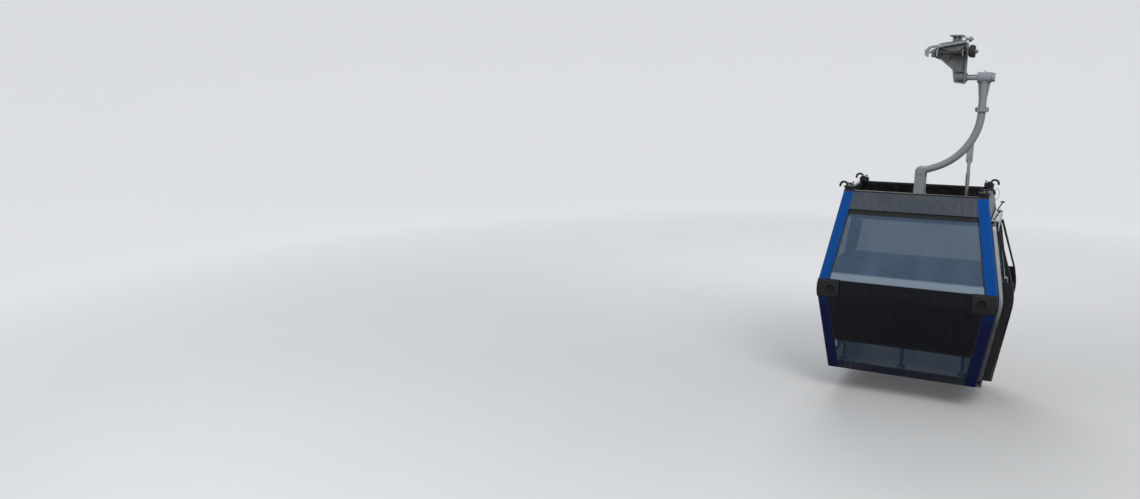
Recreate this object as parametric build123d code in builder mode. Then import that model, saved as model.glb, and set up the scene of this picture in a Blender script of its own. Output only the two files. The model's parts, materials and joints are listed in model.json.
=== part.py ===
from build123d import *
import os
from math import cos, radians, sin, tan

# Ten-seat cable car cabin with its hanger arm and detachable rope grip.
# Millimetres. +X along the rope, -Y is the door side, +Z up.
# The origin is the centre of the rope in the grip's jaws.

os.makedirs("parts", exist_ok=True)

# Rope and heights
rope_radius = 27.0
rope_play = 0.05
pivot_drop = 300.0
rim_drop = 1830.0
cab_height = 2515.0
waist_height = 1180.0

# Half widths of the cab at the rim, at the corner of the waist and at the sill
length_rim, length_waist, length_sill = 650.0, 958.0, 765.0
width_rim, width_waist, width_sill = 908.0, 1148.0, 962.0
waist_radius = 700.0

# Walls, posts and panes
wall = 42.0
post_end_width = 138.0
post_side_width = 122.0
post_round = 24.0
pane = 10.0
pane_inset = 8.0
fascia_height = 250.0
gap_height = 48.0
gap_inset = 26.0
sill_rail_height = 95.0
floor_thick = 50.0
floor_raise = 45.0
header_height = 60.0
mullion_half = 30.0

# Doorway, leaves and beam
doorway_half = 400.0
jamb_width = 45.0
leaf_gap = 10.0
leaf_thick = 40.0
leaf_seam = 3.0
leaf_rim_half = 640.0
leaf_waist_half = 800.0
leaf_sill_half = 655.0
leaf_stile = 48.0
leaf_foot = 30.0
leaf_head = 60.0
leaf_corner = 55.0
leaf_window_round = 42.0
beam_half = 610.0
beam_height = 122.0
beam_wall = 6.0
beam_gap = 12.0

# Derived levels
pivot_z = -pivot_drop
rim_z = -rim_drop
sill_z = rim_z - cab_height
waist_z = sill_z + waist_height
fascia_z = rim_z - fascia_height
head_z = fascia_z - gap_height
header_low = head_z - header_height
pane_low = sill_z + sill_rail_height
pane_back = pane_inset + pane
floor_low = sill_z + floor_raise
floor_top = floor_low + floor_thick
beyond = 200.0
reach = cab_height


def half_at(rim, waist, sill, z):
    """Half width of the cab at height z, without the rounding of the waist."""
    if z > waist_z:
        return waist + (rim - waist) * (z - waist_z) / (rim_z - waist_z)
    return waist + (sill - waist) * (z - waist_z) / (sill_z - waist_z)


def length_at(z, inset=0.0):
    return half_at(length_rim, length_waist, length_sill, z) - inset


def width_at(z, inset=0.0):
    return half_at(width_rim, width_waist, width_sill, z) - inset


def lean_outline(plane, at, inset):
    """Outline of the leaning walls seen along the other axis, run on past the rim and the sill."""
    high, low = rim_z + beyond, sill_z - beyond
    levels = [low, waist_z, high]
    right = [(at(z, inset), z) for z in levels]
    left = [(-x, z) for x, z in reversed(right)]
    with BuildSketch(plane, mode=Mode.PRIVATE) as outline:
        with BuildLine():
            Polyline(*right, *left, close=True)
        make_face()
        waist_corners = outline.vertices().sort_by(Axis.X)
        fillet([waist_corners[0], waist_corners[-1]], waist_radius)
    return outline.sketch


def end_view(inset):
    return lean_outline(Plane.XZ, length_at, inset)


def side_view(inset):
    return lean_outline(Plane.YZ, width_at, inset)


def slab(low, high):
    """Everything between two heights."""
    with BuildSketch(Plane.XY.offset(low), mode=Mode.PRIVATE) as base:
        Rectangle(2 * reach, 2 * reach)
    return extrude(base.sketch, amount=high - low, mode=Mode.PRIVATE)


def cab_form(end_inset, side_inset, low, high):
    """The cab's leaning form, set in from its ends and sides, between two heights."""
    with BuildPart(mode=Mode.PRIVATE) as form:
        extrude(end_view(end_inset), amount=reach, both=True)
        extrude(side_view(side_inset), amount=reach, both=True, mode=Mode.INTERSECT)
        add(slab(low, high), mode=Mode.INTERSECT)
    return form.part


def end_prism(inset):
    return extrude(end_view(inset), amount=reach, both=True, mode=Mode.PRIVATE)


def side_prism(inset):
    return extrude(side_view(inset), amount=reach, both=True, mode=Mode.PRIVATE)


def end_rails(outer, inner, low, high):
    """Two rails between the corner posts, one at each end, from one inset to another."""
    with BuildPart(mode=Mode.PRIVATE) as rails:
        add(cab_form(outer, post_end_width, low, high))
        add(end_prism(inner), mode=Mode.SUBTRACT)
    return rails.part


def side_rails(outer, inner, low, high, side):
    """A rail between the corner posts on the far side (1) or the door side (-1)."""
    with BuildPart(mode=Mode.PRIVATE) as rails:
        add(cab_form(post_side_width, outer, low, high))
        add(side_prism(inner), mode=Mode.SUBTRACT)
        with BuildSketch(Plane.XY.offset(low)):
            with Locations((0, side * reach / 2)):
                Rectangle(2 * reach, reach)
        extrude(amount=high - low, mode=Mode.INTERSECT)
    return rails.part


def ring_between_posts(outer, inner, low, high):
    """Four rails between the corner posts."""
    with BuildPart(mode=Mode.PRIVATE) as rails:
        add(end_rails(outer, inner, low, high))
        for side in (-1, 1):
            add(side_rails(outer, inner, low, high, side))
    return rails.part


def upright(side, x, width, high):
    """An upright of wall thickness on one side, from the sill rail up."""
    with BuildPart(mode=Mode.PRIVATE) as bar:
        add(cab_form(0, 0, pane_low, high))
        add(side_prism(wall), mode=Mode.SUBTRACT)
        with BuildSketch(Plane.XY.offset(sill_z)):
            with Locations((x, side * reach / 2)):
                Rectangle(width, reach)
        extrude(amount=cab_height, mode=Mode.INTERSECT)
    return bar.part


def finish(builder, label):
    builder.part.label = label
    export_step(builder.part, "parts/" + label + ".step")


def on_corner(edge):
    """Whether an edge runs up one of the cab's leaning outer corners."""
    middle = edge @ 0.5
    return abs(middle.X) > length_at(middle.Z, wall / 2) and abs(middle.Y) > width_at(middle.Z, wall / 2)


# Corner posts: an L of wall thickness round each leaning corner, its outer edge rounded
with BuildPart() as corner_posts:
    add(cab_form(0, 0, sill_z, rim_z))
    add(end_prism(post_side_width), mode=Mode.SUBTRACT)
    add(side_prism(post_end_width), mode=Mode.SUBTRACT)
    add(cab_form(wall, wall, sill_z - 1, rim_z + 1), mode=Mode.SUBTRACT)
    fillet([edge for edge in corner_posts.edges() if on_corner(edge)], post_round)
finish(corner_posts, "corner_posts")

# End panes, bent at the waist
with BuildPart() as end_panes:
    add(end_rails(pane_inset, pane_back, pane_low, head_z))
finish(end_panes, "end_panes")

# Header rails behind the panes' tops, and the lintel flush over the doorway
with BuildPart() as header_rails:
    add(end_rails(pane_back, wall, header_low, head_z))
    add(side_rails(pane_back, wall, header_low, head_z, 1))
    add(side_rails(0, wall, header_low, head_z, -1))
finish(header_rails, "header_rails")

# Far side: two panes and the mullion between them, bent at the waist
with BuildPart() as far_pane:
    add(side_rails(pane_inset, pane_back, pane_low, head_z, 1))
    with BuildSketch(Plane.XY.offset(sill_z)):
        Rectangle(2 * mullion_half, 2 * reach)
    extrude(amount=cab_height, mode=Mode.SUBTRACT)
finish(far_pane, "far_pane")

with BuildPart() as far_mullion:
    add(upright(1, 0.0, 2 * mullion_half, head_z))
    add(header_rails.part, mode=Mode.SUBTRACT)
finish(far_mullion, "far_mullion")

# Door side: quarter panes between the posts and the jambs
with BuildPart() as quarter_panes:
    add(side_rails(pane_inset, pane_back, pane_low, header_low, -1))
    with BuildSketch(Plane.XY.offset(sill_z)):
        Rectangle(2 * (doorway_half + jamb_width), 2 * reach)
    extrude(amount=cab_height, mode=Mode.SUBTRACT)
finish(quarter_panes, "quarter_panes")

with BuildPart() as door_jambs:
    for end in (-1, 1):
        add(upright(-1, end * (doorway_half + jamb_width / 2), jamb_width, header_low))
finish(door_jambs, "door_jambs")

# Underframe: sill rails at the foot and three beams under the floor
floor_beam_width = 80.0
floor_beam_height = 38.0
floor_beam_pitch = 400.0
floor_beam_low = floor_low - floor_beam_height
with BuildPart() as sill_rails:
    add(ring_between_posts(0, wall, sill_z, pane_low))
    with BuildSketch(Plane.XY.offset(floor_beam_low)):
        with GridLocations(floor_beam_pitch, 0, 3, 1):
            Rectangle(floor_beam_width, 2 * width_at(floor_beam_low, wall))
    extrude(amount=floor_beam_height)
finish(sill_rails, "sill_rails")

with BuildPart() as gap_band:
    add(ring_between_posts(gap_inset, wall, head_z, fascia_z))
finish(gap_band, "gap_band")

with BuildPart() as roof_fascia:
    add(ring_between_posts(0, wall, fascia_z, rim_z))
finish(roof_fascia, "roof_fascia")

# Roof tray: the black well inside the fascia, and the ceiling panel under it
tray_wall = 12.0
tray_drop = 20.0
tray_rim_drop = 14.0
tray_floor_z = fascia_z - tray_drop
with BuildPart() as roof_tray:
    add(cab_form(wall, wall, tray_floor_z - tray_wall, rim_z - tray_rim_drop))
    add(cab_form(wall + tray_wall, wall + tray_wall, tray_floor_z, rim_z + beyond / 2), mode=Mode.SUBTRACT)
finish(roof_tray, "roof_tray")

ceiling_thick = 18.0
ceiling_raise = 15.0
ceiling_z = header_low + ceiling_raise
with BuildPart() as ceiling:
    add(cab_form(wall, wall, ceiling_z, ceiling_z + ceiling_thick))
finish(ceiling, "ceiling")

with BuildPart() as floor_pan:
    add(cab_form(wall, wall, floor_low, floor_top))
finish(floor_pan, "floor_pan")

# Waist bumpers: rubber blocks over the posts on the end faces, each with a ring's hollow inboard
bumper_proud = 42.0
bumper_length = 300.0
bumper_height = 250.0
bumper_round = 60.0
bumper_hole = 55.0
bumper_hole_in = 104.0
bumper_inboard = width_at(waist_z) - bumper_length
with BuildPart() as waist_bumpers:
    with BuildSketch(Plane.XZ):
        add(end_view(-bumper_proud))
        add(end_view(0.0), mode=Mode.SUBTRACT)
        with Locations((0, waist_z)):
            Rectangle(2 * reach, bumper_height, mode=Mode.INTERSECT)
    extrude(amount=reach / 2, both=True)
    with BuildSketch(Plane.YZ):
        for side in (-1, 1):
            with Locations((side * (bumper_inboard + bumper_length), waist_z)):
                RectangleRounded(2 * bumper_length, bumper_height, bumper_round)
            with Locations((side * (bumper_inboard + bumper_hole_in), waist_z)):
                Circle(bumper_hole, mode=Mode.SUBTRACT)
    extrude(amount=reach / 2, both=True, mode=Mode.INTERSECT)
    add(side_prism(0.0), mode=Mode.INTERSECT)
finish(waist_bumpers, "waist_bumpers")

# Door head: a channel over the leaves' top rails, and the shelf that carries them
leaf_face = leaf_gap + leaf_thick
beam_low = head_z - beam_height
beam_back = width_at(head_z)
beam_front = width_at(beam_low) + leaf_face + beam_gap + beam_wall
leaf_top = beam_low + leaf_head
shelf_rise = 16.0
shelf_thick = 6.0
shelf_overhang = 14.0
shelf_z = leaf_top + shelf_rise
shelf_edge = width_at(beam_low) + shelf_overhang
with BuildPart() as door_beam:
    with BuildSketch(Plane.YZ):
        with BuildLine():
            Polyline(
                (-beam_back, head_z),
                (-beam_front, head_z),
                (-beam_front, beam_low),
                (-beam_front + beam_wall, beam_low),
                (-beam_front + beam_wall, head_z - beam_wall),
                (-width_at(head_z - beam_wall), head_z - beam_wall),
                close=True,
            )
        make_face()
        with BuildLine():
            Polyline(
                (-width_at(shelf_z), shelf_z),
                (-shelf_edge, shelf_z),
                (-shelf_edge, shelf_z - shelf_thick),
                (-width_at(shelf_z - shelf_thick), shelf_z - shelf_thick),
                close=True,
            )
        make_face()
    extrude(amount=beam_half, both=True)
finish(door_beam, "door_beam")

# Door actuator: a lever for each leaf, leaning out of the beam's top up to its roller
lever_inset = 110.0
lever_width = 22.0
lever_rise = 112.0
lever_lean = 58.0
lever_depth = 18.0
lever_back = 14.0
lever_roller = 27.0
lever_cap = 14.0
lever_foot_y = -beam_back - lever_back
lever_head_y = lever_foot_y - lever_lean
lever_head_z = head_z + lever_rise
with BuildPart() as door_actuator:
    for end in (-1, 1):
        with BuildSketch(Plane.YZ.offset(end * (beam_half - lever_inset))):
            with BuildLine():
                Polyline(
                    (lever_foot_y, head_z),
                    (lever_head_y, lever_head_z),
                    (lever_head_y - lever_depth, lever_head_z),
                    (lever_foot_y - lever_depth, head_z),
                    close=True,
                )
            make_face()
        extrude(amount=lever_width / 2, both=True)
    with BuildSketch(Plane.XY.offset(lever_head_z)):
        for end in (-1, 1):
            with Locations((end * (beam_half - lever_inset), lever_head_y - lever_depth / 2)):
                Circle(lever_roller)
    extrude(amount=lever_cap)
finish(door_actuator, "door_actuator")

# Sill guide under the leaves
track_lip = 14.0
track_thick = 12.0
with BuildPart() as door_track:
    add(cab_form(0, -leaf_face - track_lip, sill_z, sill_z + track_thick))
    add(side_prism(0.0), mode=Mode.SUBTRACT)
    with BuildSketch(Plane.XY.offset(sill_z)):
        with Locations((0, -reach / 2)):
            Rectangle(2 * length_sill, reach)
    extrude(amount=cab_height, mode=Mode.INTERSECT)
finish(door_track, "door_track")


def leaf_outline(side, stile, corner):
    """A leaf's outline seen from the door side; stile is how far it is set in all round."""
    top, foot = leaf_top - stile, sill_z + leaf_foot + stile
    inner = leaf_seam + stile

    def outer(z):
        return half_at(leaf_rim_half, leaf_waist_half, leaf_sill_half, z) - stile

    with BuildSketch(Plane.XZ, mode=Mode.PRIVATE) as outline:
        with BuildLine():
            Polyline(
                (side * inner, foot),
                (side * outer(foot), foot),
                (side * outer(waist_z), waist_z),
                (side * outer(top), top),
                (side * inner, top),
                close=True,
            )
        make_face()
        by_height = outline.vertices().sort_by(Axis.Y)
        fillet([*by_height[:2], *by_height[-2:]], corner)
        waist_corner = outline.vertices().sort_by(Axis.X)[-1 if side > 0 else 0]
        fillet(waist_corner, waist_radius)
    return outline.sketch


def leaf_slab(side, stile, corner, outer, inner):
    """The leaf's outline cut from a leaning slab, from one distance off the wall to another."""
    with BuildPart(mode=Mode.PRIVATE) as piece:
        extrude(leaf_outline(side, stile, corner), amount=reach)
        add(side_prism(-outer), mode=Mode.INTERSECT)
        add(side_prism(-inner), mode=Mode.SUBTRACT)
    return piece.part


# Top rails of the leaves: an angle that hooks over the shelf and runs on two shoes
rail_plate = 8.0
rail_grip = 14.0
rail_end = 20.0
rail_clear = 5.0
rail_face = shelf_edge + rail_plate
rail_low = shelf_z + rail_clear
rail_high = head_z - beam_wall - rail_clear
shoe_gap = 0.3
shoe_length = 50.0
shoe_places = (65.0, 175.0)

# Ski racks: a ladder standing off the leaf's lower half, with a foot, a hoop and a tall outer member
rack_proud = 120.0
rack_depth = 24.0
rack_web = 10.0
rack_rungs = 9
rack_rung = 16.0
rack_pitch = 116.0
rack_raise = 40.0
rack_inner = 34.0
rack_post = 32.0
rack_rung_end = 520.0
rack_foot = 30.0
rack_hoop_rise = 120.0
rack_step_rise = 240.0
rack_low = sill_z + rack_raise
rack_high = rack_low + (rack_rungs - 1) * rack_pitch + rack_rung
rack_step_z = waist_z + rack_step_rise
strap_thick = 6.0
strap_rise = 40.0
strap_drop = 14.0
strap_foot = 40.0
rack_head_proud = 36.0
rack_head_back = 10.0
# Lengths of the outer member: top, foot, inner and outer edge at the top, inner and outer edge at the foot
rack_upper = (beam_low + strap_rise, rack_step_z, 562.0, 596.0, 550.0, 586.0)
rack_lower = (
    (rack_step_z, waist_z, 512.0, 590.0, 505.0, 585.0),
    (waist_z, rack_low, 505.0, 585.0, 470.0, 540.0),
)


def rack_lengths(side, rows, inward):
    """Lengths of a rack's outer member seen from the door side, moved in towards the seam."""
    with BuildSketch(Plane.XZ, mode=Mode.PRIVATE) as member:
        for top, foot, inner_top, outer_top, inner_foot, outer_foot in rows:
            with BuildLine():
                Polyline(
                    (side * (inner_top - inward), top),
                    (side * (outer_top - inward), top),
                    (side * (outer_foot - inward), foot),
                    (side * (inner_foot - inward), foot),
                    close=True,
                )
            make_face()
    return member.sketch


def off_leaf(z, distance):
    """A point at a distance off the leaf's face, seen along the rope."""
    return (-width_at(z) - leaf_face - distance, z)


for side, name in ((1, "right"), (-1, "left")):
    with BuildPart() as leaf_frame:
        add(leaf_slab(side, 0.0, leaf_corner, leaf_face, leaf_gap))
        extrude(leaf_outline(side, leaf_stile, leaf_window_round), amount=reach, mode=Mode.SUBTRACT)
    finish(leaf_frame, name + "_leaf_frame")

    glass_back = leaf_gap + (leaf_thick - pane) / 2
    with BuildPart() as leaf_glass:
        add(leaf_slab(side, leaf_stile, leaf_window_round, glass_back + pane, glass_back))
    finish(leaf_glass, name + "_leaf_glass")

    with BuildPart() as leaf_rail:
        with BuildSketch(Plane.YZ.offset(side * (leaf_seam + rail_end))):
            with BuildLine():
                Polyline(
                    (-rail_face, leaf_top),
                    (-rail_face - rail_plate, leaf_top),
                    (-rail_face - rail_plate, rail_high),
                    (-rail_face, rail_high),
                    (-rail_face, rail_low + rail_plate),
                    (-shelf_edge + rail_grip, rail_low + rail_plate),
                    (-shelf_edge + rail_grip, rail_low),
                    (-rail_face, rail_low),
                    close=True,
                )
            make_face()
        extrude(amount=side * (leaf_rim_half - leaf_seam - 2 * rail_end))
        with BuildSketch(Plane.XY.offset(shelf_z + shoe_gap)):
            for x in shoe_places:
                with Locations((side * x, -shelf_edge + rail_grip / 2)):
                    Rectangle(shoe_length, rail_grip)
        extrude(amount=rail_clear - shoe_gap)
    finish(leaf_rail, name + "_leaf_rail")

    with BuildPart(mode=Mode.PRIVATE) as upper_member:
        extrude(rack_lengths(side, [rack_upper], 0.0), amount=reach)
        with BuildSketch(Plane.YZ):
            with BuildLine():
                Polyline(
                    off_leaf(beam_low + strap_rise, 0),
                    off_leaf(beam_low + strap_rise, strap_thick),
                    off_leaf(beam_low - strap_drop, strap_thick),
                    off_leaf(beam_low - strap_drop, rack_head_proud),
                    off_leaf(rack_step_z, rack_proud),
                    off_leaf(rack_step_z, rack_proud - rack_depth),
                    off_leaf(beam_low - strap_drop - strap_foot, rack_head_back),
                    off_leaf(beam_low - strap_drop - strap_foot, 0),
                    close=True,
                )
            make_face()
        extrude(amount=reach, both=True, mode=Mode.INTERSECT)

    with BuildPart(mode=Mode.PRIVATE) as lower_hollow:
        extrude(rack_lengths(side, rack_lower, rack_web), amount=reach)
        add(side_prism(-leaf_face - rack_proud + rack_depth), mode=Mode.INTERSECT)

    with BuildPart(mode=Mode.PRIVATE) as ladder:
        with BuildSketch(Plane.XZ):
            for i in range(rack_rungs):
                rung_z = rack_low + rack_rung / 2 + i * rack_pitch
                with Locations((side * (rack_inner + rack_rung_end) / 2, rung_z)):
                    Rectangle(rack_rung_end - rack_inner, rack_rung)
            with Locations((side * (rack_inner + rack_post / 2), (rack_low + rack_high) / 2)):
                Rectangle(rack_post, rack_high - rack_low)
        extrude(amount=reach)
        add(side_prism(-leaf_face - rack_proud), mode=Mode.INTERSECT)
        add(side_prism(-leaf_face - rack_proud + rack_depth), mode=Mode.SUBTRACT)

    with BuildPart() as ski_rack:
        extrude(rack_lengths(side, rack_lower, 0.0), amount=reach)
        add(side_prism(-leaf_face - rack_proud), mode=Mode.INTERSECT)
        add(lower_hollow.part, mode=Mode.SUBTRACT)
        with BuildSketch(Plane.YZ.offset(side * rack_inner)):
            with BuildLine():
                Polyline(
                    off_leaf(rack_high - rack_depth, rack_proud),
                    off_leaf(rack_high - rack_depth, rack_proud - rack_depth),
                    off_leaf(rack_high + rack_hoop_rise - rack_depth, -leaf_face),
                    off_leaf(rack_high + rack_hoop_rise, -leaf_face),
                    close=True,
                )
            make_face()
            with BuildLine():
                Polyline(
                    off_leaf(rack_low, rack_proud - rack_depth),
                    off_leaf(rack_low, -leaf_face),
                    off_leaf(rack_low + rack_foot, -leaf_face),
                    off_leaf(rack_low + rack_foot, rack_proud - rack_depth),
                    close=True,
                )
            make_face()
        extrude(amount=side * rack_post)
        add(ladder.part)
        add(side_prism(-leaf_face), mode=Mode.SUBTRACT)
        add(upper_member.part)
    finish(ski_rack, name + "_ski_rack")

# Benches at both ends: five seats abreast, on a tube and three legs
seats = 5
bench_clear = 27.0
seat_between = 22.0
seat_round = 55.0
seat_edge = 12.0
seat_height = 450.0
seat_thick = 55.0
seat_front = 390.0
back_inset = 70.0
back_thick = 50.0
back_below_waist = 20.0
back_gap = 6.0
bench_tube = 50.0
bench_tube_width = 60.0
bench_tube_x = 600.0
bracket_width = 50.0
leg_depth = 40.0
seat_top = floor_top + seat_height
tube_z = seat_top - seat_thick
back_top = waist_z - back_below_waist
seat_pitch = 2 * width_at(tube_z, wall + bench_clear) / seats
seat_width = seat_pitch - seat_between
seat_middles = [(i - (seats - 1) / 2) * seat_pitch for i in range(seats)]
leg_middles = (-2 * seat_pitch, 0.0, 2 * seat_pitch)
tube_reach = width_at(tube_z, post_end_width + bench_clear)
back_foot_x = length_at(tube_z, back_inset)
seat_rear = back_foot_x - back_thick - back_gap

with BuildPart() as bench_backs:
    add(cab_form(back_inset, 0, sill_z, rim_z))
    add(end_prism(back_inset + back_thick), mode=Mode.SUBTRACT)
    with BuildSketch(Plane.YZ):
        for y in seat_middles:
            with Locations((y, (back_top + tube_z) / 2)):
                RectangleRounded(seat_width, back_top - tube_z, seat_round)
    extrude(amount=reach, both=True, mode=Mode.INTERSECT)
finish(bench_backs, "bench_backs")

with BuildPart() as bench_seats:
    with BuildSketch(Plane.XY.offset(tube_z)):
        for end in (-1, 1):
            for y in seat_middles:
                with Locations((end * (seat_front + seat_rear) / 2, y)):
                    RectangleRounded(seat_rear - seat_front, seat_width, seat_round)
    extrude(amount=seat_thick)
    chamfer(bench_seats.edges().group_by(Axis.Z)[-1], seat_edge)
finish(bench_seats, "bench_seats")

with BuildPart() as bench_legs:
    with BuildSketch(Plane.XY.offset(tube_z)):
        for end in (-1, 1):
            with Locations((end * bench_tube_x, 0)):
                Rectangle(bench_tube_width, 2 * tube_reach)
            for y in seat_middles:
                with Locations((end * (bench_tube_x + back_foot_x) / 2, y)):
                    Rectangle(back_foot_x - bench_tube_x, bracket_width)
    extrude(amount=-bench_tube)
    with BuildSketch(Plane.XY.offset(floor_top)):
        for end in (-1, 1):
            for y in leg_middles:
                with Locations((end * bench_tube_x, y)):
                    Rectangle(bench_tube_width, leg_depth)
    extrude(amount=tube_z - bench_tube - floor_top)
finish(bench_legs, "bench_legs")

# Hanger arm: straight down from the pivot's head, round the bend and in to the sleeve on the foot's pin
arm_offset = 700.0
arm_radius = 50.0
arm_bend = 800.0
arm_turn = 70.0
head_radius = 72.0
head_length = 170.0
shaft_radius = 40.0
shaft_play = 0.05
rib_thick = 24.0
rib_drop = 200.0
foot_rise = 250.0
foot_radius = 66.0
foot_half = 90.0
foot_pin = 25.0
foot_z = rim_z + foot_rise
bend_low_y = -arm_offset + arm_bend * (1 - cos(radians(arm_turn)))
bend_low_z = foot_z - bend_low_y / tan(radians(arm_turn))
bend_high_z = bend_low_z + arm_bend * sin(radians(arm_turn))

with BuildPart() as hanger_arm:
    with BuildLine(Plane.YZ) as arm_line:
        Line((-arm_offset, pivot_z), (-arm_offset, bend_high_z))
        RadiusArc((-arm_offset, bend_high_z), (bend_low_y, bend_low_z), -arm_bend)
        Line((bend_low_y, bend_low_z), (0, foot_z))
    with BuildSketch(Plane.XY.offset(pivot_z)):
        with Locations((0, -arm_offset)):
            Circle(arm_radius)
    sweep(path=arm_line.wires()[0])
    with BuildSketch(Plane.XZ.offset(arm_offset - head_length)):
        with Locations((0, pivot_z)):
            Circle(head_radius)
    extrude(amount=2 * head_length, mode=Mode.SUBTRACT)
    with BuildSketch(Plane.YZ):
        with Locations((0, foot_z)):
            Circle(foot_radius)
    extrude(amount=foot_half, both=True)
    with BuildSketch(Plane.YZ):
        with Locations((0, foot_z)):
            Circle(foot_pin)
    extrude(amount=foot_half, both=True, mode=Mode.SUBTRACT)
finish(hanger_arm, "hanger_arm")

with BuildPart() as hanger_head:
    with BuildSketch(Plane.YZ):
        with BuildLine():
            Polyline(
                (-arm_offset - head_length / 2, pivot_z),
                (-arm_offset + head_length / 2, pivot_z),
                (-arm_offset + arm_radius, pivot_z - head_radius - rib_drop),
                (-arm_offset - arm_radius, pivot_z - head_radius - rib_drop),
                close=True,
            )
        make_face()
    extrude(amount=rib_thick / 2, both=True)
    add(hanger_arm.part, mode=Mode.SUBTRACT)
    with BuildSketch(Plane.XZ.offset(arm_offset - head_length / 2)):
        with Locations((0, pivot_z)):
            Circle(head_radius)
    extrude(amount=head_length)
    with BuildSketch(Plane.XZ.offset(arm_offset - head_length / 2)):
        with Locations((0, pivot_z)):
            Circle(shaft_radius + shaft_play)
    extrude(amount=head_length, mode=Mode.SUBTRACT)
finish(hanger_head, "hanger_head")

# Flange joint on the arm's straight run
flange_radius = 86.0
flange_thick = 44.0
flange_raise = 20.0
with BuildPart() as arm_flange:
    with BuildSketch(Plane.XY.offset(bend_high_z + flange_raise)):
        with Locations((0, -arm_offset)):
            Circle(flange_radius)
            Circle(arm_radius, mode=Mode.SUBTRACT)
    extrude(amount=flange_thick)
finish(arm_flange, "arm_flange")

# Column in the roof well: two cheeks with the foot's pin and a bar between them,
# a crosshead and four rubber mounts
mount_height = 70.0
mount_radius = 48.0
crosshead_thick = 60.0
crosshead_half_x, crosshead_half_y = 330.0, 300.0
crosshead_bar = 120.0
cheek_thick = 45.0
cheek_half = 65.0
centre_bar = 50.0
centre_bar_gap = 12.0
pin_cap = 10.0
pin_cap_radius = 40.0
crosshead_z = tray_floor_z + mount_height
crosshead_top = crosshead_z + crosshead_thick
centre_bar_top = foot_z - foot_radius - centre_bar_gap
mount_x = crosshead_half_x - crosshead_bar / 2
mount_y = crosshead_half_y - crosshead_bar / 2
cheek_out = foot_half + cheek_thick

with BuildPart() as hanger_column:
    for end in (-1, 1):
        with BuildSketch(Plane.YZ.offset(end * foot_half)):
            with Locations((0, foot_z)):
                Circle(cheek_half)
            with Locations((0, (foot_z + crosshead_top) / 2)):
                Rectangle(2 * cheek_half, foot_z - crosshead_top)
        extrude(amount=end * cheek_thick)
    with BuildSketch(Plane.YZ):
        with Locations((0, foot_z)):
            Circle(foot_pin)
    extrude(amount=cheek_out, both=True)
    for end in (-1, 1):
        with BuildSketch(Plane.YZ.offset(end * cheek_out)):
            with Locations((0, foot_z)):
                Circle(pin_cap_radius)
        extrude(amount=end * pin_cap)
    with BuildSketch(Plane.XY.offset(crosshead_top)):
        Rectangle(centre_bar, 2 * cheek_half)
    extrude(amount=centre_bar_top - crosshead_top)
finish(hanger_column, "hanger_column")

with BuildPart() as crosshead:
    with BuildSketch(Plane.XY.offset(crosshead_z)):
        Rectangle(2 * crosshead_half_x, 2 * cheek_half)
        for end in (-1, 1):
            with Locations((end * mount_x, 0)):
                Rectangle(crosshead_bar, 2 * crosshead_half_y)
    extrude(amount=crosshead_thick)
finish(crosshead, "crosshead")

with BuildPart() as rubber_mounts:
    with BuildSketch(Plane.XY.offset(tray_floor_z)):
        with GridLocations(2 * mount_x, 2 * mount_y, 2, 2):
            Circle(mount_radius)
    extrude(amount=mount_height)
finish(rubber_mounts, "rubber_mounts")

# Steady rod: from a foot in the roof well up to a bracket under the arm's bend
rod_offset = 600.0
rod_radius = 21.0
rod_foot_radius = 46.0
rod_foot_height = 26.0
rod_rise = 400.0
bracket_thick = 16.0
bracket_half = 42.0
rod_top = rim_z + rod_rise
bend_centre_y = -arm_offset + arm_bend
over_rod_z = bend_high_z - (arm_bend ** 2 - (rod_offset + bend_centre_y) ** 2) ** 0.5
with BuildPart() as steady_rod:
    with BuildSketch(Plane.YZ):
        with Locations((-rod_offset, (rod_top + over_rod_z) / 2)):
            Rectangle(2 * bracket_half, over_rod_z - rod_top)
    extrude(amount=bracket_thick / 2, both=True)
    add(hanger_arm.part, mode=Mode.SUBTRACT)
    with BuildSketch(Plane.XY.offset(tray_floor_z)):
        with Locations((0, -rod_offset)):
            Circle(rod_radius)
    extrude(amount=rod_top - tray_floor_z)
    with BuildSketch(Plane.XY.offset(tray_floor_z)):
        with Locations((0, -rod_offset)):
            Circle(rod_foot_radius)
    extrude(amount=rod_foot_height)
finish(steady_rod, "steady_rod")

# Roof guides: a bracket and a roller at each corner of the rim
guide_inset = 52.0
guide_base = 84.0
guide_base_round = 16.0
guide_base_height = 20.0
guide_stub = 20.0
guide_stub_height = 12.0
guide_roller = 58.0
guide_roller_height = 32.0
guide_roller_edge = 6.0
guide_pitch_x, guide_pitch_y = 2 * (length_rim - guide_inset), 2 * (width_rim - guide_inset)
guide_z = rim_z + guide_base_height + guide_stub_height
with BuildPart() as roof_guides:
    with BuildSketch(Plane.XY.offset(guide_z)):
        with GridLocations(guide_pitch_x, guide_pitch_y, 2, 2):
            Circle(guide_roller)
    extrude(amount=guide_roller_height)
    chamfer(roof_guides.edges().filter_by(GeomType.CIRCLE), guide_roller_edge)
    with BuildSketch(Plane.XY.offset(rim_z)):
        with GridLocations(guide_pitch_x, guide_pitch_y, 2, 2):
            Circle(guide_stub)
    extrude(amount=guide_z - rim_z)
    with BuildSketch(Plane.XY.offset(rim_z)):
        with GridLocations(guide_pitch_x, guide_pitch_y, 2, 2):
            RectangleRounded(guide_base, guide_base, guide_base_round)
    extrude(amount=guide_base_height)
finish(roof_guides, "roof_guides")

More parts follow.
